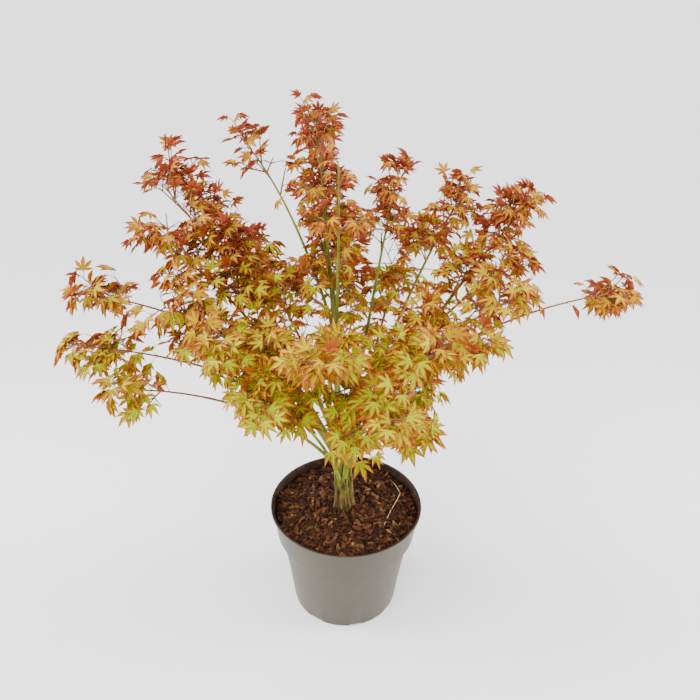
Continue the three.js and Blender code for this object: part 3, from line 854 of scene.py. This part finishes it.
def twig_from(limb, index, spaces, shoot, share, hand, pair, number, reach, shortest):
    """One twig of a pair, shortened until it stays in the limb's space, or None."""
    at, along = shoot.at(share), shoot.along(share)
    side = side_of(along)
    lift = np.cross(along, side)
    roll = math.radians((pair % 2) * 90 * abs(along[2]) + vary("roll", limb, number))
    angle = math.radians(vary("angle", limb, number))
    heading = unit(along * math.cos(angle) + side * math.cos(roll) * hand * math.sin(angle)
                   + lift * math.sin(roll) * math.sin(angle))
    length = reach * vary("reach", limb, number) * (1 - TWIG["tip_loss"] * share)
    tilt = vary("tilt", limb, number)
    while length > shortest:
        tip = at + heading * length + UP * length * tilt
        if spaces.holds(index, np.array([(at + tip) / 2, tip])).all():
            return bowed_shoot(at, tip, number, TWIG["bare"], TWIG["bow"] * length)
        length *= TWIG["shorter"]
    return None


def twigs_of(limb, index, spaces):
    """The limb's twigs, in pairs along its stem, and the finer twigs between and on them."""
    stem = limb.stem()
    pairs = max(1, int(stem.length / TWIG["gap"]))
    twigs, fine = [], []
    for k in range(pairs):
        for hand in (1, -1):
            number = 1 + k * 2 + (hand > 0)
            twig = twig_from(limb, index, spaces, stem, (k + TWIG["node"]) / pairs, hand, k,
                             number, limb.spread, TWIG["shortest"])
            if twig:
                twigs.append(twig)
                fine.extend(side_twigs_of(limb, index, spaces, twig))
            spur = twig_from(limb, index, spaces, stem, (k + TWIG["spur"]) / pairs, hand, k + 1,
                             SPURS_FROM + number, limb.spread * SIDE_TWIG["share"],
                             SIDE_TWIG["shortest"])
            if spur:
                fine.append(spur)
    return stem, twigs, fine


def side_twigs_of(limb, index, spaces, twig):
    pairs = max(1, int(twig.length / SIDE_TWIG["gap"]))
    fine = []
    for k in range(pairs):
        for hand in (1, -1):
            number = SIDE_TWIGS_FROM + twig.number * 12 + k * 2 + (hand > 0)
            share = SIDE_TWIG["first"] + SIDE_TWIG["over"] * (k + 0.5) / pairs
            side_twig = twig_from(limb, index, spaces, twig, share, hand, k, number,
                                  twig.length * SIDE_TWIG["share"], SIDE_TWIG["shortest"])
            if side_twig:
                fine.append(side_twig)
    return fine


def strong_twig(limb, index, spaces, number, share, reach, rise):
    """One stronger twig, to either side by turns, shortened until it stays in the room."""
    at, along = limb.at(share), limb.along(share)
    turn = math.radians(vary("strong_turn", limb, number)) * (1 if number % 2 else -1)
    heading = unit(along * math.cos(turn) + side_of(along) * math.sin(turn)
                   + UP * rise * vary("strong_rise", limb, number))
    length = reach * vary("strong_reach", limb, number)
    while length > STRONG["shortest"] and not spaces.holds(index, at + heading * length).all():
        length *= STRONG["shorter"]
    return bowed_shoot(at, at + heading * length, number, STRONG["bare"], TWIG["bow"] * length)


def strong_twigs_of(limb, index, spaces):
    """The limb's stronger twigs, evenly spaced, and the finer twigs on the longer ones."""
    twigs, fine = [], []
    for row, (name, count, first, last, reach, rise) in enumerate(STRONG_TWIGS):
        if name != limb.name:
            continue
        for k in range(count):
            share = first + (last - first) * (k + 0.5) / count
            number = STRONG["number"] + 10 * row + k
            twigs.append(strong_twig(limb, index, spaces, number, share, reach, rise))
            if twigs[-1].length > STRONG["branches"]:
                fine += side_twigs_of(limb, index, spaces, twigs[-1])
    return twigs, fine


# ---------------------------------------------------------------- leaves

# A maple leaf's lobes (direction in degrees, length, half width) and the notches that part
# them (direction, depth), one before each lobe and one after the last.
LOBES = ((-86, 0.66, 0.105), (-43, 0.90, 0.14), (0, 1.00, 0.155), (43, 0.90, 0.14),
         (86, 0.66, 0.105))
NOTCHES = ((-140, 0.09), (-63, 0.26), (-21, 0.31), (21, 0.31), (63, 0.26), (140, 0.09))
# Each lobe is widest at this share of its length.
BELLY = 0.55
# Four ways that a leaf hangs: its droop at the tips, the fold of its lobes, and the share of
# their full spread that they keep.
LEAF_SHAPES = (
    {"droop": 0.14, "fold": 0.07, "close": 1.0},
    {"droop": 0.30, "fold": 0.10, "close": 0.95},
    {"droop": 0.48, "fold": 0.13, "close": 0.85},
    {"droop": 0.34, "fold": 0.20, "close": 0.55},
)
LEAF_THICK = 0.012
# The heart's notches, lobe widths and lobe lengths, as shares of the whole leaf's.
HEART = (0.76, 0.58, 0.8)
SHAPE_SALT = 40
TINT_SALT = 50
# Leaves shrink by this share along their shoot. Those below a size (mm) are still half folded.
TIP_LOSS = 0.18
CLOSED_SIZE = 14
STALK_SAG = 0.12
# Places on a leaf's plane that must stay in its limb's space, in leaf sizes.
LEAF_PROBES = ((1.0, 0.0), (0.72, 0.58), (0.72, -0.58), (0.0, 0.7), (0.0, -0.7), (0.0, 0.0))


def leaf_ring(notch_share, half_share, tip_share, droop, fold, close):
    """A ring round the leaf: each notch, then the next lobe's two shoulders and its tip."""
    def place(direction, along, aside, lift):
        turn = math.radians(direction * close)
        return (along * math.cos(turn) - aside * math.sin(turn),
                along * math.sin(turn) + aside * math.cos(turn),
                lift - droop * (along * along + aside * aside))

    ring = []
    for (turn, depth), (direction, length, half) in zip(NOTCHES, LOBES):
        belly, half = BELLY * length, half * half_share
        ring += [place(turn, depth * notch_share, 0.0, fold / 2 * notch_share),
                 place(direction, belly, -half, fold * half_share),
                 place(direction, length * tip_share, 0.0, 0.0),
                 place(direction, belly, half, fold * half_share)]
    turn, depth = NOTCHES[-1]
    ring.append(place(turn, depth * notch_share, 0.0, fold / 2 * notch_share))
    return ring


def leaf_shape(**bend):
    """Places, faces and zones (0 heart, 1 rim) of a thin closed leaf of unit lobe length."""
    outer, inner = leaf_ring(1.0, 1.0, 1.0, **bend), leaf_ring(*HEART, **bend)
    count = len(outer)
    hub, under = 2 * count, 2 * count + 1
    rim = [(j + count, j, (j + 1) % count, (j + 1) % count + count) for j in range(count)]
    heart = [(hub, j + count, j + count + 1, j + count + 2) for j in range(0, count - 1, 2)]
    heart.append((hub, 2 * count - 1, count))
    low = [(under, j + 2, j + 1, j) for j in range(0, count - 1, 2)]
    low.append((under, 0, count - 1))
    places = np.array(outer + inner + [(0.0, 0.0, 0.0), (0.0, 0.0, -LEAF_THICK)])
    return places, rim + heart + low, [1] * len(rim) + [0] * len(heart) + [1] * len(low)


def leaf_spot(limb, shoot, share, hand, pair, number, size, stalk):
    """A leaf's foot, hub, axes, size and pick of shapes on a shoot; hand 0 is its end leaf."""
    def drawn(key):
        return vary(key, limb, number, hand)

    at, along = shoot.at(share), shoot.along(share)
    side = side_of(along)
    lift = np.cross(along, side)
    roll = math.radians((pair % 2) * 90 * abs(along[2]) + drawn("leaf_roll"))
    splay = math.radians(drawn("leaf_splay" if hand else "end_leaf_splay"))
    heading = unit(along * math.cos(splay) + side * math.cos(roll) * (hand or 1)
                   * math.sin(splay) + lift * math.sin(roll) * math.sin(splay))
    axis = unit(heading - UP * drawn("leaf_hang"))
    out = unit(np.array([at[0] - TRUNK["x"], at[1], 0.0]))
    face = unit(UP * drawn("leaf_up") + out * drawn("leaf_out") + side * drawn("leaf_aside"))
    if abs(face @ axis) > 0.9:
        face = np.cross(axis, side)
    face = unit(face - axis * (face @ axis))
    high = min(1.0, max(0.0, (limb.tip - YOUNG["from"]) / (YOUNG["to"] - YOUNG["from"])))
    size = size * drawn("leaf_size") * (YOUNG["largest"] - YOUNG["loss"] * high)
    size *= 1 - TIP_LOSS * share
    hub = at + heading * size * stalk - UP * size * stalk * STALK_SAG
    return {"at": at, "hub": hub, "axis": axis, "face": face, "size": size,
            "pick": chance(limb.number, number, SHAPE_SALT + hand)}


def leaf_places(spot, corners):
    across = np.cross(spot["face"], spot["axis"])
    frame_axes = np.array([spot["axis"], across, spot["face"]])
    return spot["hub"] + spot["size"] * (np.asarray(corners) @ frame_axes)


def leaves_along(limb, index, spaces, shoot, gap, size, stalk):
    """The leaves of a shoot that stay in the limb's space, shrunk where that helps."""
    count = max(1, round(shoot.length * (1 - shoot.first) / gap))
    leaves = []
    for k in range(count + 1):
        share = shoot.first + (1 - shoot.first) * k / count
        for hand in ((1, -1) if k < count else (1, -1, 0)):
            for shrink in (1.0, 0.8):
                spot = leaf_spot(limb, shoot, share, hand, k, shoot.number * 20 + k,
                                 size * shrink, stalk)
                corners = [(x, y, 0.0) for x, y in LEAF_PROBES]
                if spaces.holds(index, leaf_places(spot, corners)).all():
                    leaves.append(spot)
                    break
    return leaves


def spray_tint(limb, shoot, place):
    """Which row of the tints a spray takes: greener low and near the trunk, redder beyond."""
    outward = math.hypot(place[0] - TRUNK["x"], max(0.0, place[1])) * MM
    rise = (place[2] - TINTS_RISE["from"]) / TINTS_RISE["over"]
    rise += TINTS_RISE["outward"] * outward - TINTS_RISE["forward"] * max(0.0, -place[1]) * MM
    rise += TINTS_RISE["spread"] * (chance(limb.number, shoot.number, TINT_SALT) - 0.5)
    return int(min(len(LEAF_TINTS) - 1, max(0, math.floor(rise * len(LEAF_TINTS)))))


def shed(limb, shoot, leaf):
    """True for a leaf low on a limb that the limb has let go, but never on a stronger twig."""
    if shoot.number >= STRONG["number"]:
        return False
    low = limb.at(limb.bare + (1 - limb.bare) * SHED_BELOW)[2]
    return leaf["at"][2] < low and chance(leaf["pick"] * 97, limb.number) < SHED.get(limb.name, 0)


def in_gap(leaf):
    """True for a leaf that would close one of the gaps through the crown."""
    eye = np.array(CAMERA["place"])
    middle = leaf["hub"] + leaf["axis"] * leaf["size"] * 0.5
    seen = eye + (middle - eye) * eye[1] / (eye[1] - middle[1])
    return any(math.hypot(seen[0] - x, seen[2] - z) < radius + GAP_MARGIN
               for x, z, radius in GAPS.values())


class Crown:
    """Every shoot and leaf of the plant, grown once and shared by the operators."""

    def __init__(self):
        self.limbs = make_limbs()
        self.order = list(self.limbs.values())
        self.spaces = Spaces(self.order)
        self.roomier = Spaces(self.order, STRONG["room"])
        self.grown = {}

    def grow(self, gap, size, stalk):
        for index, limb in enumerate(self.order):
            stem, twigs, fine = twigs_of(limb, index, self.spaces)
            strong, strong_fine = strong_twigs_of(limb, index, self.roomier)
            shoots = [(shoot, self.spaces) for shoot in [stem] + twigs + fine]
            shoots += [(shoot, self.roomier) for shoot in strong + strong_fine]
            sprays = []
            for shoot, spaces in shoots:
                leaves = leaves_along(limb, index, spaces, shoot, gap, size, stalk)
                sprays.append((shoot, [leaf for leaf in leaves
                                       if not shed(limb, shoot, leaf) and not in_gap(leaf)]))
            leafy = {shoot for shoot, leaves in sprays if leaves}
            self.grown[limb.name] = {
                "twigs": twigs + [shoot for shoot in strong if shoot in leafy],
                "fine": [shoot for shoot in fine + strong_fine if shoot in leafy],
                "sprays": sprays}


CROWN = Crown()


# ---------------------------------------------------------------- building the pieces

def pot_profile():
    """The pot's section as (radius, height, height in a notch), from its underside outwards,
    up the wall, over the lip and down inside to its floor, with edges rounded by up to 1 mm."""
    base, raised = POT["base_radius"], NOTCH["height"]
    ledge, collar = POT["ledge_radius"], POT["collar_radius"]
    rim, lip_in = POT["rim_radius"], POT["rim_radius"] - POT["lip_width"]
    top, foot, wall = POT["height"], POT["collar_foot"], POT["wall"]
    recess, under_lip = base - NOTCH["depth"], top - POT["lip_height"]
    underside = [
        (0.01, 0.0, 0.0), (recess / 2, 0.0, 0.0), (recess, 0.0, 0.0),
        (recess + 0.3, 0.0, raised), (base - 1.0, 0.0, raised),
        (base - 0.3, 0.25, raised), (base, 1.0, raised + 0.1),
    ]
    rest = [
        (base + 0.4, 3.4), *POT_BELLY, (ledge - 0.2, foot - 2.5), (ledge + 0.1, foot - 0.4),
        (ledge + 1.0, foot), (collar - 0.3, foot + 0.05), (collar, foot + 0.2),
        (collar + 0.4, foot + 3.0), (lip_in + 0.2, under_lip - 0.3),
        (rim - 0.7, under_lip + 0.3), (rim, under_lip + 1.2), (rim, top - 1.0),
        (rim - 0.35, top - 0.25), (rim - 1.0, top), (lip_in + 0.9, top),
        (lip_in + 0.1, top - 0.8), (lip_in - 0.3, top - 6.0), (collar - wall, foot + 3.0),
        (ledge - wall, foot), (base - 1.6, 6.0), (recess, POT["floor"]), (0.01, POT["floor"]),
    ]
    return underside + [(radius, height, height) for radius, height in rest]


def in_notch(turn):
    """True where a direction in degrees falls in one of the underside's notches."""
    half = math.degrees(NOTCH["width"] / 2 / POT["base_radius"])
    step = 360 / NOTCH["count"]
    away = (turn - NOTCH["turn"] + step / 2) % step - step / 2
    return abs(away) < half


def build_pot():
    props = settings("maple_pot")
    sides, profile = props.facets, pot_profile()
    places = []
    for radius, height, raised in profile:
        for turn in turns(sides):
            z = raised if in_notch(math.degrees(turn)) else height
            places.append((radius * math.cos(turn), radius * math.sin(turn), z))
    # From the lip's top inwards the faces take the dark stained plastic, which also paints the shade
    # inside the wall.
    inside = [int(ring >= STAINED_AND_SHADED_RING) for ring in range(len(profile) - 1)
              for _ in range(sides)]
    plastics = [moulded_polypropylene(tuple(props.colour)), stained_and_shaded_polypropylene()]
    piece = new_piece("nursery_pot", places, closed_faces(len(profile), sides), plastics,
                      inside + [0, 1])
    piece.data.set_sharp_from_angle(angle=math.radians(CREASE_ANGLE))
    keep(piece, "pot", "pot")


def soil_height(x, y):
    """The mounded soil's height, with low swells, before the crumbs are added."""
    radius = math.hypot(x, y)
    if radius < SOIL["shoulder"]:
        share = max(0.0, (radius - SOIL["flat"]) / (SOIL["shoulder"] - SOIL["flat"]))
        rise = SOIL["crown"] - (SOIL["crown"] - SOIL["edge"] - SOIL["shoulder_rise"]) * share
    else:
        share = (radius - SOIL["shoulder"]) / (BED["wall"] - SOIL["shoulder"])
        rise = SOIL["edge"] + SOIL["shoulder_rise"] * (1 - share)
    swell = BED["swell"] * math.sin(x * 0.11 + 1.3) * math.cos(y * 0.09 + 0.4)
    return rise + swell * min(1.0, radius / BED["swell_from"])


def crumb(x, y):
    """Crumbly relief from the crossed waves, between -1 and 1."""
    return sum(math.sin(x * fx + y * fy + 2.1 * k) * math.cos(x * fy * 0.8 - y * fx + k)
               for k, (fx, fy) in enumerate(CRUMB_WAVES)) / len(CRUMB_WAVES)


def build_soil():
    props = settings("maple_mulch")
    relief, sides, rings = props.relief / MM, BED["sides"], BED["rings"]
    middle, edge = BED["middle"], BED["edge"]
    places = []
    for r in range(rings):
        radius = middle + (edge - middle) * r / (rings - 1)
        fade = min(1.0, (edge - radius) / BED["fade"] + BED["least"])
        for turn in turns(sides, 0.5 * (r % 2)):
            x, y = radius * math.cos(turn), radius * math.sin(turn)
            places.append((x, y, soil_height(x, y) + relief * crumb(x, y) * fade))
    places += [(radius * math.cos(turn), radius * math.sin(turn), height)
               for radius, height in BED_SIDE for turn in turns(sides)]
    faces = [tuple(reversed(face)) for face in closed_faces(rings + len(BED_SIDE), sides)]
    keep(new_piece("soil_bed", places, faces, [composted_bark()]), "soil", "soil")


def chip_mesh(length, width, thick, shape, material):
    """A bark flake: a slab with torn ends and a faint twist, closed all round."""
    corners, places = len(CHIP_OUTLINE), []
    for level in (0.0, 1.0):
        for k, (x, y) in enumerate(CHIP_OUTLINE):
            jog = chance(shape, k, CHIP_SHAPE["salt"]) * CHIP_SHAPE["torn"]
            lift = CHIP_SHAPE["lift"] * math.sin(CHIP_SHAPE["waves"] * x + shape)
            places.append((length * (x + jog * (1 if x < 0 else -1)), width * y,
                           thick * (level + lift)))
    return new_piece("chip", places, closed_faces(2, corners), [material], smooth=False)


def mulch_ground():
    """The open part of the soil, clear of the trunk and of the wall, for the chips to lie on."""
    sides, rings = MULCH["sides"], MULCH["rings"]
    places = []
    for r in range(rings):
        radius = MULCH["first"] + (MULCH["last"] - MULCH["first"]) * r / (rings - 1)
        for turn in turns(sides):
            x = radius * math.cos(turn) + TRUNK["x"] * (1 - r / (rings - 1))
            y = radius * math.sin(turn)
            places.append((x, y, soil_height(x, y) + MULCH["lift"]))
    faces = [tuple(reversed(face)) for face in lathe_faces(rings, sides)]
    return new_piece("mulch_ground", places, faces, [])


def hold_inside(piece):
    """Draws in whatever stands out through the pot's wall."""
    places = np.empty(len(piece.data.vertices) * 3)
    piece.data.vertices.foreach_get("co", places)
    places = places.reshape(-1, 3)
    radii = np.hypot(places[:, 0], places[:, 1])
    wall = np.interp(places[:, 2] / MM, WALL_INSIDE["heights"], WALL_INSIDE["radii"]) * MM
    places[:, :2] *= np.minimum(1.0, wall / np.maximum(radii, 1e-6))[:, None]
    piece.data.vertices.foreach_set("co", places.ravel())
    piece.data.update()


def build_mulch():
    props = settings("maple_mulch")
    length = props.chip_length / MM
    ground, tree = mulch_ground(), scatter_tree()
    for k, (name, dark, light, share, stretch, width, thick) in enumerate(CHIPS):
        skin = bark_chip(name, dark, light)
        chip = chip_mesh(length * stretch, length * width, length * thick, k + 1, skin)
        piece = run_tree(tree, ground, name, Chip=chip, Density=props.density * share,
                         Seed=CHIP_SEEDS["first"] + CHIP_SEEDS["step"] * k, Material=skin,
                         **CHIP_SIZES)
        bpy.data.objects.remove(chip)
        hold_inside(piece)
        keep(piece, "soil")
    bpy.data.objects.remove(ground)
    build_straw()


def build_straw():
    """One pale straw that lies over the mulch, with a kink past its middle."""
    places = [(x, y, soil_height(x, y) + lift) for x, y, lift, _ in STRAW]
    radii = [radius for *_, radius in STRAW]
    keep(sweep("straw", [(places, radii)], STRAW_SIDES, dry_straw()), "soil")


def trunk_radius(height, turn, rib):
    """The bark's radius: the trunk's taper and root flare, with crossed ribs and low knots."""
    above = height - TRUNK["foot"]
    share = above / (TRUNK["fork"] - TRUNK["foot"])
    taper = TRUNK["foot_radius"] + (TRUNK["fork_radius"] - TRUNK["foot_radius"]) * share
    flare = TRUNK["flare"] * math.exp(-max(0.0, above) / TRUNK["flare_height"])
    twist = turn + BARK["twist"] * above
    ribs = math.cos(5 * twist + 0.6) + 0.55 * math.cos(9 * twist + 1.7) \
        + 0.35 * math.cos(14 * twist + 0.5 * math.sin(height * 0.09))
    knots = 0.5 * math.sin(height * 0.21 + 3 * turn) * math.cos(height * 0.13 - 2 * turn)
    return BARK["slim"] * (taper + flare) + rib * (ribs + knots)


def build_trunk():
    """The bark, from just under the soil to a low dome over the fork."""
    rib = settings("maple_wood").rib_depth / MM
    sides, rings = BARK["sides"], BARK["rings"]
    low, top = TRUNK["foot"] - BARK["sunk"], TRUNK["fork"] + BARK["above"]
    places = []
    for r in range(rings):
        height = low + (top - low) * r / (rings - 1)
        dome = min(1.0, (top - height) / BARK["dome"])
        close = math.sqrt(max(BARK["least"], 1 - (1 - dome) ** 2))
        centre = trunk_axis(min(height, TRUNK["fork"]))
        for turn in turns(sides):
            radius = trunk_radius(height, turn, rib) * close
            places.append((centre[0] + radius * math.cos(turn),
                           centre[1] + radius * math.sin(turn), height))
    piece = new_piece("trunk_bark", places, closed_faces(rings, sides), [young_maple_bark()])
    keep(piece, "bark", "trunk")


def limb_path(limb):
    """The limb's centre line and radii, with a collar at its foot and slight joints. It stays
    thinner than the clearance that leaves keep from it."""
    shares = np.linspace(0, LIMB["end"], LIMB["steps"])
    radii = []
    for share in shares:
        collar = 1 + LIMB["collar"] * math.exp(-share * LIMB["collar_fall"])
        wave = math.cos(share * 2 * math.pi * LIMB["joints"] + limb.number)
        joint = 1 + LIMB["joint"] * max(0.0, wave) ** 8
        radii.append(limb.radius(share, LIMB["taper"], LIMB["tip"]) * collar * joint)
    return [limb.at(share) for share in shares], radii


def build_limbs():
    props = settings("maple_wood")
    paths = [limb_path(limb) for limb in CROWN.order]
    piece = sweep("limbs", paths, props.limb_sides, green_stem_skin())
    keep(piece, "green_wood", *[f"{name}_bough" for name in LIMBS])


def shoot_path(shoot, foot_radius, tip_radius, steps):
    shares = np.linspace(0, 1, steps)
    return [shoot.at(s) for s in shares], foot_radius + (tip_radius - foot_radius) * shares


def stalk_path(spot):
    """A leaf's stalk, bowed from its node to the blade's hub."""
    at, hub = spot["at"], spot["hub"]
    return [at, (at + hub) / 2 + UP * STALK_BOW * spot["size"], hub], STALK_RADII


def build_twigs():
    props = settings("maple_wood")
    skin = russet_twig_skin()
    paths = []
    for grown in CROWN.grown.values():
        paths += [shoot_path(twig, *TWIG_ROD) for twig in grown["twigs"]]
        paths += [shoot_path(twig, *FINE_ROD) for twig in grown["fine"]]
    keep(sweep("twigs", paths, props.twig_sides, skin), "green_wood")
    build_bare_twigs(props.twig_sides)
    stalks = [stalk_path(spot) for grown in CROWN.grown.values()
              for _, leaves in grown["sprays"] for spot in leaves]
    keep(sweep("leaf_stalks", stalks, STALK_SIDES, skin), "green_wood")


def build_bare_twigs(sides):
    """The dead twiglets, each with the stub of a side shoot."""
    paths = []
    for name, share, tip in BARE_TWIGS:
        foot, tip = CROWN.limbs[name].at(share), np.array(tip)
        middle = (foot + tip) / 2 + UP * STUB["lift"]
        stub = middle + (tip - foot) * STUB["along"] + side_of(tip - foot) * STUB["aside"]
        paths += [([foot, middle, tip], BARE_RADII), ([middle, stub], STUB_RADII)]
    keep(sweep("bare_twigs", paths, sides, dead_twig_bark()), "green_wood")


def region_leaves(names, shapes):
    """The joined places, faces and tint indices of a region's leaves."""
    places, faces, kinds, start = [], [], [], 0
    for name in names:
        limb = CROWN.limbs[name]
        for shoot, leaves in CROWN.grown[name]["sprays"]:
            for spot in leaves:
                tint = spray_tint(limb, shoot, spot["hub"])
                closed = shoot.number == 0 or spot["size"] < CLOSED_SIZE
                pick = int(spot["pick"] * (len(shapes) - 1)) + closed
                corners, outline, zones = shapes[pick]
                places.append(leaf_places(spot, corners))
                faces += [tuple(v + start for v in face) for face in outline]
                kinds += [2 * tint + zone for zone in zones]
                start += len(corners)
    return np.concatenate(places), faces, kinds


def build_leaves():
    skins = []
    for k, (heart, rim) in enumerate(LEAF_TINTS):
        skins += [leaf_skin(f"leaf_heart_{k}", heart), leaf_skin(f"leaf_rim_{k}", rim)]
    shapes = [leaf_shape(**shape) for shape in LEAF_SHAPES]
    for region, names in REGIONS.items():
        places, faces, kinds = region_leaves(names, shapes)
        piece = new_piece(f"leaves_{region}", places, faces, skins, kinds, smooth=False)
        keep(piece, "leaves", *[f"{name}_foliage" for name in names])


# ---------------------------------------------------------------- stage

def build_stage():
    props = settings("maple_stage")
    half = FLOOR["half"]
    corners = [(x * half, y * half, -FLOOR["below"])
               for x, y in ((-1, -1), (1, -1), (1, 1), (-1, 1))]
    floor = new_piece("studio_floor", corners, [(0, 1, 2, 3)],
                      [floor_paint(tuple(props.floor))])
    camera_data = bpy.data.cameras.new("camera")
    camera_data.sensor_width = SENSOR
    camera_data.lens = props.focal
    camera = link(bpy.data.objects.new("camera", camera_data))
    aim = Euler((math.radians(90 - CAMERA["pitch"]), 0, 0)).to_matrix()
    roll = Matrix.Rotation(math.radians(CAMERA["roll"]), 3, "Z")
    camera.matrix_world = Matrix.Translation(Vector(CAMERA["place"]) * MM) \
        @ (aim @ roll).to_4x4()
    bpy.context.scene.camera = camera
    add_sun("sky_panel")
    for name, place in SOFTBOXES.items():
        add_softbox(name, place)
    set_world()


def add_sun(name):
    """A broad, even light from one side, as wide across the sky as its angle says."""
    lamp = bpy.data.lights.new(name, "SUN")
    lamp.angle = math.radians(SUN["width"])
    lamp.energy = SUN["strength"]
    piece = link(bpy.data.objects.new(name, lamp))
    piece.rotation_euler = (-Vector(SUN["place"])).to_track_quat("-Z", "Y").to_euler()


def add_softbox(name, place):
    lamp = bpy.data.lights.new(name, "AREA")
    lamp.size = SOFTBOX["size"]
    lamp.energy = SOFTBOX["watts"]
    lamp.spread = math.radians(SOFTBOX["spread"])
    piece = link(bpy.data.objects.new(name, lamp))
    piece.location = place
    aim = Vector(SOFTBOX["aim"]) - Vector(place)
    piece.rotation_euler = aim.to_track_quat("-Z", "Y").to_euler()


def set_world():
    """Lights the stage evenly from all round, and shows as bright as the floor behind it."""
    world = bpy.data.worlds.new("studio")
    world.use_nodes = True
    tree = world.node_tree
    background = tree.nodes["Background"]
    background.inputs["Color"].default_value = linear(SKY["colour"])
    ray = node(tree, "ShaderNodeLightPath")
    level = node(tree, "ShaderNodeMapRange", {"To Min": SKY["strength"], "To Max": SKY["seen"]},
                 {"Value": ray.outputs["Is Camera Ray"]})
    tree.links.new(level.outputs["Result"], background.inputs["Strength"])
    bpy.context.scene.world = world


# ---------------------------------------------------------------- operators and panel

class MAPLE_OT_stage(bpy.types.Operator):
    """Sets up the floor, the studio light and the camera"""
    bl_idname = "maple.stage"
    bl_label = "Stage"

    def execute(self, context):
        build_stage()
        return {"FINISHED"}


class MAPLE_OT_pot(bpy.types.Operator):
    """Builds the moulded nursery pot"""
    bl_idname = "maple.pot"
    bl_label = "Pot"

    def execute(self, context):
        build_pot()
        return {"FINISHED"}


class MAPLE_OT_soil(bpy.types.Operator):
    """Builds the bed of composted bark"""
    bl_idname = "maple.soil"
    bl_label = "Soil"

    def execute(self, context):
        build_soil()
        return {"FINISHED"}


class MAPLE_OT_mulch(bpy.types.Operator):
    """Strews bark chips and a straw over the soil"""
    bl_idname = "maple.mulch"
    bl_label = "Mulch"

    def execute(self, context):
        build_mulch()
        return {"FINISHED"}


class MAPLE_OT_wood(bpy.types.Operator):
    """Builds the ribbed trunk, the limbs, the twigs and the leaf stalks"""
    bl_idname = "maple.wood"
    bl_label = "Wood"

    def execute(self, context):
        props = settings("maple_leaf")
        CROWN.grow(props.gap / MM, props.size / MM, props.stalk)
        build_trunk()
        build_limbs()
        build_twigs()
        return {"FINISHED"}


class MAPLE_OT_leaves(bpy.types.Operator):
    """Builds the leaves, one piece for each region of the crown"""
    bl_idname = "maple.leaves"
    bl_label = "Leaves"

    def execute(self, context):
        build_leaves()
        return {"FINISHED"}


class MAPLE_PT_panel(bpy.types.Panel):
    """Lists the pieces of the potted maple"""
    bl_idname = "MAPLE_PT_panel"
    bl_label = "Potted Maple"
    bl_space_type = "VIEW_3D"
    bl_region_type = "UI"
    bl_category = "Maple"

    def draw(self, context):
        for operator in OPERATORS:
            self.layout.operator(operator.bl_idname)
        for name, group in GROUPS.items():
            box = self.layout.box()
            for prop in group.__annotations__:
                box.prop(getattr(context.scene, name), prop)


GROUPS = {
    "maple_pot": PotProperties,
    "maple_mulch": MulchProperties,
    "maple_wood": WoodProperties,
    "maple_leaf": LeafProperties,
    "maple_stage": StageProperties,
}
OPERATORS = (MAPLE_OT_stage, MAPLE_OT_pot, MAPLE_OT_soil, MAPLE_OT_mulch, MAPLE_OT_wood,
             MAPLE_OT_leaves)


def register():
    for cls in (*GROUPS.values(), *OPERATORS, MAPLE_PT_panel):
        bpy.utils.register_class(cls)
    for name, group in GROUPS.items():
        setattr(bpy.types.Scene, name, bpy.props.PointerProperty(type=group))


def unregister():
    for name in GROUPS:
        delattr(bpy.types.Scene, name)
    for cls in reversed((*GROUPS.values(), *OPERATORS, MAPLE_PT_panel)):
        bpy.utils.unregister_class(cls)


def main():
    register()
    bpy.ops.maple.stage()
    bpy.ops.maple.pot()
    bpy.ops.maple.soil()
    bpy.ops.maple.mulch()
    bpy.ops.maple.wood()
    bpy.ops.maple.leaves()


if __name__ == "__main__":
    main()
